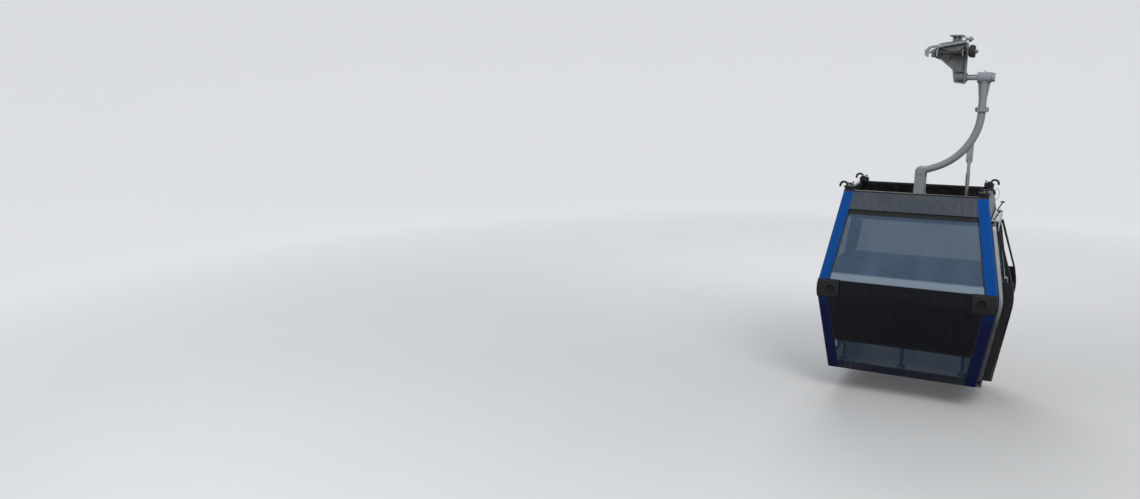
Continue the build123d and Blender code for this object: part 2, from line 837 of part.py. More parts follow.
# Grip: a ribbed casting from the jaws out and down to the pivot, with the wheels' axles and the springs' seat
jaw_wall = 16.0
jaw_half = 90.0
jaw_root = 70.0
housing_half = 62.0
housing_web = 14.0
housing_rim = 24.0
housing_round = 16.0
housing_back = 470.0
back_plate_length, back_plate_height = 360.0, 120.0
back_plate_thick = 20.0
pivot_boss = 58.0
pivot_boss_front = 330.0
throat_drop, heel_drop = 70.0, 90.0
axle_x, axle_z = 130.0, 40.0
axle_radius = 18.0
axle_cap = 30.0
axle_cap_thick = 10.0
wheel_play = 0.05
wheel_radius = 80.0
wheel_width = 52.0
wheel_gap = 10.0
wheel_rim = 18.0
wheel_hub = 32.0
wheel_recess = 14.0
wheel_holes = 5
wheel_hole = 9.0
spring_x, spring_z = 120.0, 20.0
spring_radius = 34.0
spring_collar = 40.0
spring_collar_thick = 12.0
spring_front, spring_back = 110.0, 410.0
seat_plate_length, seat_plate_height = 330.0, 84.0
seat_plate_thick = 15.0
yoke_thick = 18.0
cheek_clear = 6.0
cheek_plate = 16.0
jaw_pin_y, jaw_pin_z = -130.0, 118.0
jaw_pin_boss = 30.0
bore = rope_radius + rope_play
axle_root = housing_back + back_plate_thick
cheek_in = housing_half + cheek_clear
# Side view of the casting, from the jaws' root round under the pivot and up the back
housing_profile = (
    (-jaw_root, 92), (-jaw_root, -40), (-150, -70), (-300, -200), (-pivot_boss_front, pivot_z - throat_drop),
    (-housing_back, pivot_z - heel_drop), (-housing_back, 150), (-400, 190), (-130, 150),
)

with BuildSketch(Plane.YZ, mode=Mode.PRIVATE) as housing_view:
    with BuildLine():
        Polyline(*housing_profile, close=True)
    make_face()
    fillet(housing_view.vertices(), housing_round)
pocket_view = offset(housing_view.sketch, amount=-housing_rim)

with BuildPart() as grip_housing:
    extrude(housing_view.sketch, amount=housing_half, both=True)
    extrude(pocket_view, amount=housing_half, both=True, mode=Mode.SUBTRACT)
    extrude(housing_view.sketch, amount=housing_web, both=True)
    with BuildSketch(Plane.XZ.offset(housing_back)):
        with Locations((0, axle_z)):
            Rectangle(back_plate_length, back_plate_height)
    extrude(amount=back_plate_thick)
    with BuildSketch(Plane.XZ.offset(pivot_boss_front)):
        with Locations((0, pivot_z)):
            Circle(pivot_boss)
    extrude(amount=axle_root - pivot_boss_front)
    with BuildSketch(Plane.XZ.offset(axle_root)):
        with GridLocations(2 * axle_x, 0, 2, 1):
            with Locations((0, axle_z)):
                Circle(axle_radius)
    extrude(amount=wheel_width + 2 * wheel_gap)
    with BuildSketch(Plane.XZ.offset(axle_root + wheel_width + 2 * wheel_gap)):
        with GridLocations(2 * axle_x, 0, 2, 1):
            with Locations((0, axle_z)):
                Circle(axle_cap)
    extrude(amount=axle_cap_thick)
    with BuildSketch(Plane.XZ.offset(spring_back)):
        with Locations((0, spring_z)):
            Rectangle(seat_plate_length, seat_plate_height)
    extrude(amount=seat_plate_thick)
    with BuildSketch(Plane.YZ):
        with Locations((jaw_pin_y, jaw_pin_z)):
            Circle(jaw_pin_boss)
    extrude(amount=cheek_in, both=True)
finish(grip_housing, "grip_housing")


def jaw_sector(start, turn):
    """A length of the ring round the rope, from one angle on, counted from +Y towards +Z."""
    ring = bore + jaw_wall
    with BuildSketch(Plane.YZ, mode=Mode.PRIVATE) as sector:
        Circle(ring)
        Circle(bore, mode=Mode.SUBTRACT)
        with BuildLine():
            first = (2 * ring * cos(radians(start)), 2 * ring * sin(radians(start)))
            middle = (2 * ring * cos(radians(start + turn / 2)), 2 * ring * sin(radians(start + turn / 2)))
            last = (2 * ring * cos(radians(start + turn)), 2 * ring * sin(radians(start + turn)))
            Polyline((0, 0), first, middle, last, close=True)
        make_face(mode=Mode.INTERSECT)
    return sector.sketch


# Side views of the jaws' backs and of the moving jaw's two side plates
fixed_jaw_profile = ((-jaw_root, 80), (-20, 60), (-20, -20), (-40, -34), (-jaw_root, -30))
moving_jaw_profile = ((30, -20), (58, -10), (62, 60), (10, 112), (-60, 125), (-60, 100), (-5, 90), (36, 40))
cheek_back = 430.0
cheek_profile = (
    (10, 112), (-60, 125), (-cheek_back, 185), (-cheek_back, 150), (-130, 100), (-60, 90), (10, 90),
)
fixed_start, fixed_turn = 80.0, 140.0
moving_start, moving_turn = -40.0, 110.0

with BuildPart() as fixed_jaw:
    extrude(jaw_sector(fixed_start, fixed_turn), amount=jaw_half, both=True)
    with BuildSketch(Plane.YZ):
        with BuildLine():
            Polyline(*fixed_jaw_profile, close=True)
        make_face()
        Circle(bore + jaw_wall / 2, mode=Mode.SUBTRACT)
    extrude(amount=jaw_half, both=True)
finish(fixed_jaw, "fixed_jaw")

# Moving jaw: its two side plates carry a yoke that the springs push on
yoke_top = spring_z + seat_plate_height / 2
with BuildPart() as moving_jaw:
    extrude(jaw_sector(moving_start, moving_turn), amount=jaw_half, both=True)
    with BuildSketch(Plane.YZ):
        with BuildLine():
            Polyline(*moving_jaw_profile, close=True)
        make_face()
        Circle(bore + jaw_wall / 2, mode=Mode.SUBTRACT)
    extrude(amount=jaw_half, both=True)
    for end in (-1, 1):
        with BuildSketch(Plane.YZ.offset(end * cheek_in)):
            with BuildLine():
                Polyline(*cheek_profile, close=True)
            make_face()
        extrude(amount=end * cheek_plate)
        with BuildSketch(Plane.XZ.offset(spring_front - yoke_thick)):
            with Locations((end * (cheek_in + seat_plate_length / 2) / 2, spring_z)):
                Rectangle(seat_plate_length / 2 - cheek_in, seat_plate_height)
            with Locations((end * (cheek_in + cheek_plate / 2), (yoke_top + jaw_pin_z) / 2)):
                Rectangle(cheek_plate, jaw_pin_z - yoke_top)
        extrude(amount=yoke_thick)
finish(moving_jaw, "moving_jaw")

with BuildPart() as grip_springs:
    with BuildSketch(Plane.XZ.offset(spring_front)):
        with GridLocations(2 * spring_x, 0, 2, 1):
            with Locations((0, spring_z)):
                Circle(spring_radius)
    extrude(amount=spring_back - spring_front)
    for y in (spring_front, spring_back - spring_collar_thick):
        with BuildSketch(Plane.XZ.offset(y)):
            with GridLocations(2 * spring_x, 0, 2, 1):
                with Locations((0, spring_z)):
                    Circle(spring_collar)
        extrude(amount=spring_collar_thick)
finish(grip_springs, "grip_springs")

# Coupling lever across the side plates' ends, with the roller that opens the jaws
lever_bar_length, lever_bar_height = 180.0, 40.0
lever_bar_thick = 20.0
lever_bar_z = 200.0
lever_pin = 14.0
lever_pin_length = 60.0
coupling_roller = 38.0
coupling_roller_width = 34.0
coupling_roller_gap = 20.0
lever_bar_back = cheek_back + lever_bar_thick
with BuildPart() as coupling_lever:
    with BuildSketch(Plane.XZ.offset(cheek_back)):
        with Locations((0, lever_bar_z)):
            Rectangle(lever_bar_length, lever_bar_height)
    extrude(amount=lever_bar_thick)
    with BuildSketch(Plane.XZ.offset(lever_bar_back)):
        with Locations((0, lever_bar_z)):
            Circle(lever_pin)
    extrude(amount=lever_pin_length)
    with BuildSketch(Plane.XZ.offset(lever_bar_back + coupling_roller_gap)):
        with Locations((0, lever_bar_z)):
            Circle(coupling_roller)
    extrude(amount=coupling_roller_width)
finish(coupling_lever, "coupling_lever")

# Running wheels: rim, recessed web and hub, free on their axles
wheel_front_y = axle_root + wheel_gap
web_middle = (wheel_radius - wheel_rim + wheel_hub) / 2
for end, name in ((1, "front"), (-1, "rear")):
    with BuildPart() as running_wheel:
        with BuildSketch(Plane.XZ.offset(wheel_front_y)):
            with Locations((end * axle_x, axle_z)):
                Circle(wheel_radius)
                Circle(axle_radius + wheel_play, mode=Mode.SUBTRACT)
                with PolarLocations(web_middle, wheel_holes):
                    Circle(wheel_hole, mode=Mode.SUBTRACT)
        extrude(amount=wheel_width)
        for y in (wheel_front_y, wheel_front_y + wheel_width - wheel_recess):
            with BuildSketch(Plane.XZ.offset(y)):
                with Locations((end * axle_x, axle_z)):
                    Circle(wheel_radius - wheel_rim)
                    Circle(wheel_hub, mode=Mode.SUBTRACT)
            extrude(amount=wheel_recess, mode=Mode.SUBTRACT)
    finish(running_wheel, "running_wheel_" + name)

# Drive plate on top, for the station's tyres
drive_y, drive_z = -330.0, 236.0
drive_length, drive_width = 460.0, 170.0
drive_round = 20.0
drive_thick = 14.0
drive_stem_length, drive_stem_width = 90.0, 110.0
drive_stem_height = 66.0
with BuildPart() as drive_plate:
    with BuildSketch(Plane.XY.offset(drive_z)):
        with Locations((0, drive_y)):
            RectangleRounded(drive_length, drive_width, drive_round)
    extrude(amount=drive_thick)
    with BuildSketch(Plane.XY.offset(drive_z)):
        with Locations((0, drive_y)):
            Rectangle(drive_stem_length, drive_stem_width)
    extrude(amount=-drive_stem_height)
    add(grip_housing.part, mode=Mode.SUBTRACT)
finish(drive_plate, "drive_plate")

# Pivot shaft through the hanger's head, with its end plate
shaft_end_gap = 6.0
shaft_collar = 22.0
shaft_collar_thick = 30.0
shaft_end = arm_offset + head_length / 2 + shaft_end_gap
with BuildPart() as pivot_shaft:
    with BuildSketch(Plane.XZ.offset(axle_root)):
        with Locations((0, pivot_z)):
            Circle(shaft_radius)
    extrude(amount=shaft_end - axle_root)
    with BuildSketch(Plane.XZ.offset(shaft_end)):
        with Locations((0, pivot_z)):
            Circle(shaft_radius + shaft_collar)
    extrude(amount=shaft_collar_thick)
finish(pivot_shaft, "pivot_shaft")
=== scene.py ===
import json
import math

import bmesh
import bpy
from mathutils import Matrix, Vector


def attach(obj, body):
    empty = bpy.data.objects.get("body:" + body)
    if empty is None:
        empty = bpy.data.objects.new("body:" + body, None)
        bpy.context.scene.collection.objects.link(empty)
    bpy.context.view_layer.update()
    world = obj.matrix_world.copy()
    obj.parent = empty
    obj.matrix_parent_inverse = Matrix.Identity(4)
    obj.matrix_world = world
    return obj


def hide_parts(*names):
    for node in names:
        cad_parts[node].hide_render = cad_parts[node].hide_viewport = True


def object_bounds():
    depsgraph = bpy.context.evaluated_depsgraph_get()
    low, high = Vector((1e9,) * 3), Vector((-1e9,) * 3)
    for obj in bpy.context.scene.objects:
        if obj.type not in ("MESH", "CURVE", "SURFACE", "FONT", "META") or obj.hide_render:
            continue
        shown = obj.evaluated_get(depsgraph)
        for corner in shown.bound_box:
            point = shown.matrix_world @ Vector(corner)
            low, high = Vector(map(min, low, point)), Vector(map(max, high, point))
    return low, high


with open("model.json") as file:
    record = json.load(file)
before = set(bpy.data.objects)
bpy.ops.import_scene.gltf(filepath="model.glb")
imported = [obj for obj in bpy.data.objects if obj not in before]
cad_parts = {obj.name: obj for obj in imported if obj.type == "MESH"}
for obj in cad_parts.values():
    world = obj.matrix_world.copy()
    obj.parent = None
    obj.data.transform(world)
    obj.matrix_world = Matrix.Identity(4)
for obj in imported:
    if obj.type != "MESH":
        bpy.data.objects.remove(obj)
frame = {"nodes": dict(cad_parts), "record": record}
cad_low, cad_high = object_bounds()

nodes = frame["nodes"]
scene = bpy.context.scene
scene.view_settings.view_transform = "Standard"

# The photo's camera, in metres in the part's frame, with its lens in the photo's pixels
photo_width = 1140.0
camera_place = Vector((-13.0, -1.4, -0.34))
camera_off_axis = math.radians(22.0)
camera_pitch = math.radians(-11.0)
camera_pixels = 870.0
sensor = 36.0

# The cab's form, from the part's source: levels, half widths at rim, waist corner and sill, and the walls
rim_z, waist_z, sill_z = -1.83, -3.165, -4.345
length_halves = (0.65, 0.958, 0.765)
width_halves = (0.908, 1.148, 0.962)
leaf_halves = (0.64, 0.8, 0.655)
waist_radius = 0.7
head_z, header_low, pane_low = -2.128, -2.188, -4.25
fascia_z = -2.08
post_end, post_side = 0.138, 0.122
wall, pane_inset = 0.042, 0.008
leaf_gap, leaf_thick, leaf_seam, leaf_stile = 0.01, 0.04, 0.003, 0.048
leaf_top, leaf_foot = -2.19, -4.315
beam_low = -2.25
doorway_half, jamb_width = 0.4, 0.045
mullion_half = 0.03
tray_floor_z, ceiling_low, floor_top = -2.1, -2.173, -4.25
pivot_z, arm_offset, flange_z, foot_z = -0.3, 0.7, -0.765, -1.58

ends = (-1, 1)
corners = tuple((sx, sy) for sx in ends for sy in ends)
up, down, outward = (0, 0, 1), (0, 0, -1), (0, -1, 0)


def make_camera():
    """The cab is seen well to the right of the lens axis and under it, as in the photo, with no shift."""
    data = bpy.data.cameras.new("camera")
    cam = bpy.data.objects.new("camera", data)
    scene.collection.objects.link(cam)
    towards = math.atan2(-camera_place.y, -camera_place.x) + camera_off_axis
    level = math.cos(camera_pitch)
    aim = Vector((math.cos(towards) * level, math.sin(towards) * level, math.sin(camera_pitch)))
    cam.location = camera_place
    cam.rotation_mode = "QUATERNION"
    cam.rotation_quaternion = aim.to_track_quat("-Z", "Y")
    data.sensor_width = sensor
    data.lens = camera_pixels / photo_width * sensor
    data.clip_end = 200.0
    scene.camera = cam


make_camera()


def area_light(name, place, size, power, color=(1.0, 1.0, 1.0)):
    """A soft lamp that points at the middle of the cab."""
    data = bpy.data.lights.new(name, "AREA")
    data.shape = "RECTANGLE"
    data.size, data.size_y = size
    data.energy = power
    data.color = color
    lamp = bpy.data.objects.new(name, data)
    lamp.location = place
    lamp.rotation_mode = "QUATERNION"
    lamp.rotation_quaternion = (Vector((0.0, 0.0, -2.7)) - Vector(place)).to_track_quat("-Z", "Y")
    scene.collection.objects.link(lamp)


area_light("key", (-8.0, -6.0, 5.0), (6.0, 6.0), 720.0, (1.0, 0.985, 0.96))
area_light("fill", (-9.0, 6.5, 1.5), (6.0, 5.0), 210.0, (0.93, 0.96, 1.0))
area_light("rim", (8.0, 3.0, 4.5), (6.0, 4.0), 520.0)


class Nodes:
    """A short way to build shader nodes."""

    def __init__(self, tree):
        self.tree = tree

    def feed(self, socket, value):
        """Sets a socket's value, or links it where the value is another node's output."""
        if isinstance(value, bpy.types.NodeSocket):
            self.tree.links.new(value, socket)
        else:
            socket.default_value = value

    def node(self, kind, inputs=(), **settings):
        """A new node with its settings; inputs are pairs of a socket's name or number and what feeds it."""
        made = self.tree.nodes.new(kind)
        for key, value in settings.items():
            setattr(made, key, value)
        for key, value in inputs:
            self.feed(made.inputs[key], value)
        return made

    def maths(self, first, second, how="MULTIPLY"):
        return self.node("ShaderNodeMath", ((0, first), (1, second)), operation=how).outputs[0]

    def seen_rays(self):
        """One where the camera, a reflection or light through glass looks, and nought for light that bounces."""
        path = self.node("ShaderNodeLightPath").outputs
        first = self.maths(path["Is Camera Ray"], path["Is Glossy Ray"], "MAXIMUM")
        return self.maths(first, path["Is Transmission Ray"], "MAXIMUM")


looks = {}


class Shader(Nodes):
    """A material with its main shader, laid out by the object's own coordinates and kept in looks by its name."""

    def __init__(self, name):
        self.mat = looks[name] = bpy.data.materials.new(name)
        self.mat.use_nodes = True
        super().__init__(self.mat.node_tree)
        self.main = self.tree.nodes["Principled BSDF"]
        self.coords = self.node("ShaderNodeTexCoord").outputs["Object"]

    def set(self, **values):
        """Feeds the main shader's inputs, named with _ for a space."""
        for key, value in values.items():
            self.feed(self.main.inputs[key.replace("_", " ")], value)

    def noise(self, scale, detail=5.0, stretch=(1.0, 1.0, 1.0)):
        place = self.node("ShaderNodeMapping", (("Scale", stretch), ("Vector", self.coords))).outputs[0]
        noise = self.node("ShaderNodeTexNoise", (("Scale", scale), ("Detail", detail), ("Vector", place)))
        return noise.outputs["Fac"]

    def spread(self, value, low, high, out_low=0.0, out_high=1.0):
        """The value's range from low to high, spread over another one and held at its ends."""
        span = self.node("ShaderNodeMapRange", (("Value", value), ("From Min", low), ("From Max", high),
                                                ("To Min", out_low), ("To Max", out_high)))
        return span.outputs[0]

    def blend(self, share, first, second):
        """Two colours, mixed; each is a tuple or another node's output."""
        first, second = ((*color, 1.0) if isinstance(color, tuple) else color for color in (first, second))
        return self.node("ShaderNodeMix", ((0, share), (6, first), (7, second)), data_type="RGBA").outputs[2]

    def height_z(self):
        return self.node("ShaderNodeSeparateXYZ", ((0, self.coords),)).outputs["Z"]

    def bump(self, value, strength, distance):
        bump = self.node("ShaderNodeBump", (("Strength", strength), ("Distance", distance), ("Height", value)))
        self.set(Normal=bump.outputs[0])


def shade(color, factor):
    return tuple(min(1.0, channel * factor) for channel in color)


# Dust shows pale on dark paint, and the painted shade below the waist, a dark band, fades in over these levels
dust_grey, scuff_grey, pale_from = (0.36, 0.35, 0.33), (0.5, 0.5, 0.5), 0.3
shade_fade_low, shade_fade_high = waist_z - 0.28, waist_z + 0.12


def paint(name, color, rough=0.35, metal=0.0, coat=0.0, grime=0.25, grain=60.0, orange_peel=0.05,
          painted_shade_below=None, gloss=0.4):
    """Paint or bare metal: fine mottling, dust streaks down the wall, scuffs, orange peel or casting grain, and
    painted shade below the waist where a colour for it is given.
    """
    look = Shader(name)
    look.set(Metallic=metal, Coat_Weight=coat, Coat_Roughness=0.12, Specular_IOR_Level=gloss)
    fine = look.noise(grain)
    streak = look.noise(6.0, 6.0, (5.0, 5.0, 0.5))
    patch = look.noise(2.3, 4.0)
    base = look.blend(fine, shade(color, 0.94), shade(color, 1.06))
    # painted shade: below the waist the colour darkens towards the given dark colour
    if painted_shade_below is not None:
        base = look.blend(look.spread(look.height_z(), shade_fade_low, shade_fade_high), painted_shade_below, base)
    dust = look.spread(look.maths(streak, patch), 0.22, 0.42, 0.0, grime)
    base = look.blend(dust, base, dust_grey if max(color) < pale_from else shade(color, 0.72))
    scuff = look.spread(look.noise(140.0, 2.0, (1.0, 1.0, 0.2)), 0.7, 0.76, 0.0, 0.35 * grime)
    worn = look.spread(look.maths(fine, streak, "ADD"), 0.6, 1.4, max(0.05, rough - 0.08), min(1.0, rough + 0.12))
    look.set(Base_Color=look.blend(scuff, base, scuff_grey), Roughness=worn)
    look.bump(look.noise(grain * 4.0, 2.0), orange_peel, 0.0006)
    return look.mat


def rubber(name, color, rough=0.62, grain=220.0):
    """Moulded rubber or plastic: fine grain, pale scuffs and a chalky bloom."""
    wear = (0.05, 0.05, 0.049)
    look = Shader(name)
    look.set(Specular_IOR_Level=0.28)
    fine = look.noise(grain, 4.0)
    bloom = look.spread(look.noise(3.5, 5.0), 0.45, 0.75, 0.0, 0.5)
    scuff = look.spread(look.noise(90.0, 3.0, (1.0, 1.0, 0.25)), 0.66, 0.74, 0.0, 0.6)
    base = look.blend(fine, shade(color, 0.8), shade(color, 1.2))
    base = look.blend(look.maths(bloom, 0.35), base, wear)
    worn = look.spread(fine, 0.3, 0.7, rough - 0.08, min(1.0, rough + 0.1))
    look.set(Base_Color=look.blend(scuff, base, wear), Roughness=worn)
    look.bump(fine, 0.35, 0.0008)


def brushed(name, color, rough=0.32, along=(1.0, 1.0, 60.0)):
    """Bare or anodised metal with brush lines, handling marks and a little tarnish."""
    look = Shader(name)
    look.set(Metallic=0.9)
    lines = look.noise(9.0, 8.0, along)
    tarnish = look.spread(look.noise(5.0, 6.0), 0.5, 0.8, 0.0, 0.5)
    base = look.blend(lines, shade(color, 0.82), shade(color, 1.1))
    worn = look.spread(lines, 0.3, 0.7, rough - 0.08, rough + 0.14)
    look.set(Base_Color=look.blend(tarnish, base, shade(color, 0.62)), Roughness=worn)
    look.bump(lines, 0.12, 0.0004)
    return look.mat


# The panes' bands, as (level where one starts to change, level where it has changed)
reflection_foot = (waist_z + 0.11, waist_z + 0.125)
reflection_rise = (waist_z + 0.2, rim_z - 0.25)
highlight_top = (waist_z + 0.2, waist_z + 0.225)
window_foot = (sill_z + 0.1, sill_z + 0.115)
window_top = (sill_z + 0.4, sill_z + 0.43)
# the grey-blue is a painted sky reflection; the near-black is the glass's tint with painted shade
reflection_blue, tint_and_shade_black = (0.115, 0.185, 0.275), (0.002, 0.003, 0.008)
# the strip's pale blue is a painted highlight
highlight_blue, drip_grey, window_blue = (0.37, 0.45, 0.54), (0.2, 0.21, 0.22), (0.06, 0.12, 0.21)
reflection_alpha, tint_and_shade_alpha, window_alpha, highlight_alpha = 0.5, 0.88, 0.88 * 0.36, 0.42


def pane_glass(name):
    """Tinted glass: a painted sky reflection in grey-blue over the waist with a painted highlight strip at its
    foot, painted shade on the dark tinted glass below, a clearer window.
    """
    look = Shader(name)
    look.set(IOR=1.5, Specular_IOR_Level=0.2)
    level = look.height_z()
    smear = look.spread(look.noise(3.0, 7.0, (1.0, 1.0, 0.45)), 0.35, 0.75)
    drips = look.spread(look.noise(14.0, 4.0, (1.0, 1.0, 0.08)), 0.6, 0.8, 0.0, 0.3)
    above = look.spread(level, *reflection_foot)
    # painted sky reflection in grey-blue above the waist
    sky_reflection = look.blend(smear, shade(reflection_blue, 1.05), shade(reflection_blue, 1.45))
    sky_reflection = look.blend(look.maths(look.spread(level, *reflection_rise), 0.5), sky_reflection, shade(reflection_blue, 1.1))
    # painted highlight: a pale strip just over the waist's bend
    strip = look.maths(above, look.spread(level, *highlight_top, 1.0, 0.0))
    window = look.maths(look.spread(level, *window_foot), look.spread(level, *window_top, 1.0, 0.0))
    # below the waist the near-black is the glass's tint with painted shade on it
    base = look.blend(above, tint_and_shade_black, sky_reflection)
    base = look.blend(look.maths(strip, 0.8), base, highlight_blue)
    base = look.blend(look.maths(drips, 0.3), base, drip_grey)
    base = look.blend(look.maths(window, 0.8), base, window_blue)
    tint_and_shade = look.spread(window, 0.0, 1.0, tint_and_shade_alpha, window_alpha)
    alpha = look.node("ShaderNodeMix", ((0, above), (2, tint_and_shade), (3, reflection_alpha)), data_type="FLOAT")
    solid = look.maths(alpha.outputs[0], look.maths(strip, highlight_alpha), "ADD")
    solid = look.maths(solid, look.maths(smear, 0.05), "ADD")
    look.set(Base_Color=base, Alpha=solid, Roughness=look.spread(smear, 0.0, 1.0, 0.03, 0.1))


# The slots' looks, and those of the fasteners and the lamps, which have no slot
# the blue paint's dark navy below the waist is painted shade on the downward-facing lower posts
paint("blue_paint", (0.001, 0.082, 0.36), rough=0.34, coat=0.04, grime=0.1, gloss=0.15,
      orange_peel=0.03, painted_shade_below=(0.001, 0.005, 0.052))
# the grey paint is darkened as painted shade, and the door beam's lighter copy of it is painted light
paint("grey_paint", (0.052, 0.065, 0.084), rough=0.4, grime=0.09)
paint("grey_paint_lit", (0.62, 0.64, 0.67), rough=0.34, grime=0.18)
# the leaf silver darkens below the waist as a painted reflection of the dark ground
paint("leaf_silver", (0.5, 0.515, 0.53), rough=0.33, metal=0.35, grime=0.2, painted_shade_below=(0.09, 0.095, 0.105))
rubber("black_plastic", (0.012, 0.012, 0.014), rough=0.5)
paint("tray_black", (0.009, 0.009, 0.01), rough=0.55, grime=0.12, gloss=0.25)
paint("ceiling_white", (0.5, 0.5, 0.49), rough=0.6, grime=0.06, grain=120.0)
pane_glass("tinted_glass")
paint("dark_frame", (0.005, 0.007, 0.02), rough=0.42, grime=0.12, gloss=0.25)
brushed("floor_aluminium", (0.34, 0.35, 0.36), rough=0.42, along=(30.0, 1.0, 1.0))
rubber("bumper_rubber", (0.012, 0.012, 0.013))
rubber("rack_black", (0.014, 0.014, 0.016), rough=0.42)
rubber("seat_shell", (0.018, 0.02, 0.025), rough=0.55, grain=300.0)
paint("hanger_grey", (0.3, 0.32, 0.35), rough=0.42, grime=0.3, orange_peel=0.1)
brushed("rod_steel", (0.3, 0.315, 0.335), rough=0.34)
paint("grip_casting", (0.16, 0.17, 0.18), rough=0.55, grime=0.4, grain=150.0, orange_peel=0.3)
paint("spring_steel", (0.05, 0.052, 0.058), rough=0.38, metal=0.4, grime=0.2)
brushed("plate_steel", (0.27, 0.275, 0.285), rough=0.36, along=(1.0, 40.0, 1.0))
rubber("wheel_tread", (0.03, 0.03, 0.032), rough=0.6)
bolt_grain = (8.0, 8.0, 8.0)
dark_bolt = brushed("dark_fasteners", (0.07, 0.07, 0.075), rough=0.42, along=bolt_grain)
zinc = brushed("zinc_fasteners", (0.31, 0.31, 0.3), rough=0.36, along=bolt_grain)
lamp_cover = paint("lamp_cover", (0.72, 0.73, 0.72), rough=0.25, grime=0.03)


def smooth(mesh, degrees=32.0):
    mesh.shade_smooth()
    mesh.set_sharp_from_angle(angle=math.radians(degrees))


def round_off(piece, width):
    rounding = piece.modifiers.new("rounding", "BEVEL")
    rounding.width = width
    rounding.segments = 2
    rounding.limit_method = "ANGLE"
    rounding.angle_limit = math.radians(40.0)


# Carried-over nodes: their slot's look, smooth bends, and small rounded edges where a hand or tool would feel them
edge_round = {
    0.0015: ("door_beam", "roof_fascia"),
    0.002: ("coupling_lever", "moving_jaw", "fixed_jaw", "door_jambs", "far_mullion", "steady_rod", "door_actuator",
            "roof_guides", "running_wheel_front", "running_wheel_rear"),
    0.003: ("right_ski_rack", "left_ski_rack", "grip_housing", "drive_plate", "arm_flange", "hanger_head"),
    0.004: ("hanger_column", "bench_seats"),
    0.005: ("crosshead",),
    0.008: ("bench_backs",),
}
for part in frame["record"]["subparts"]:
    shown = nodes[part["node"]]
    shown.data.materials.clear()
    # the door beam takes the lighter copy of its grey paint, painted light
    shown.data.materials.append(looks["grey_paint_lit" if part["node"] == "door_beam" else part["material_slot"]])
    smooth(shown.data)
for width, names in edge_round.items():
    for name in names:
        round_off(nodes[name], width)


class Wall:
    """A leaning wall's half width at a height, with the rounded waist."""

    def __init__(self, halves):
        self.halves = halves
        rim, waist, sill = halves
        rise = Vector((rim - waist, rim_z - waist_z)).normalized()
        fall = Vector((sill - waist, sill_z - waist_z)).normalized()
        half_turn = rise.angle(fall) / 2
        self.centre = Vector((waist, waist_z)) + (rise + fall).normalized() * waist_radius / math.sin(half_turn)
        run = waist_radius / math.tan(half_turn)
        self.round_high = waist_z + rise.y * run
        self.round_low = waist_z + fall.y * run

    def at(self, z):
        rim, waist, sill = self.halves
        if z > self.round_high:
            return waist + (rim - waist) * (z - waist_z) / (rim_z - waist_z)
        if z < self.round_low:
            return waist + (sill - waist) * (z - waist_z) / (sill_z - waist_z)
        return self.centre.x + math.sqrt(waist_radius ** 2 - (z - self.centre.y) ** 2)

    def levels(self, low, high, steps=10):
        """Heights from low to high, with steps round the waist."""
        bend = [self.round_low + (self.round_high - self.round_low) * i / steps for i in range(steps + 1)]
        return [low] + [z for z in bend if low + 1e-4 < z < high - 1e-4] + [high]


length_wall, width_wall, leaf_wall = Wall(length_halves), Wall(width_halves), Wall(leaf_halves)


def row(count, pitch):
    """Places one pitch apart, centred on nought."""
    return [(i - (count - 1) / 2) * pitch for i in range(count)]


def around(count, radius, first=0.0):
    """Points on a circle, from an angle in degrees on."""
    turns = [math.radians(first + 360.0 * i / count) for i in range(count)]
    return [(radius * math.cos(turn), radius * math.sin(turn)) for turn in turns]


def fixed(value):
    return lambda z: value


def corner_y(sign, inset):
    """Across the cab, a distance in from the far or door-side wall, at any height."""
    return lambda z: sign * (width_wall.at(z) - inset)


def corner_x(sign, inset):
    return lambda z: sign * (length_wall.at(z) - inset)


def door_y(z, off):
    """A place at a distance outside the door-side wall."""
    return -(width_wall.at(z) + off)


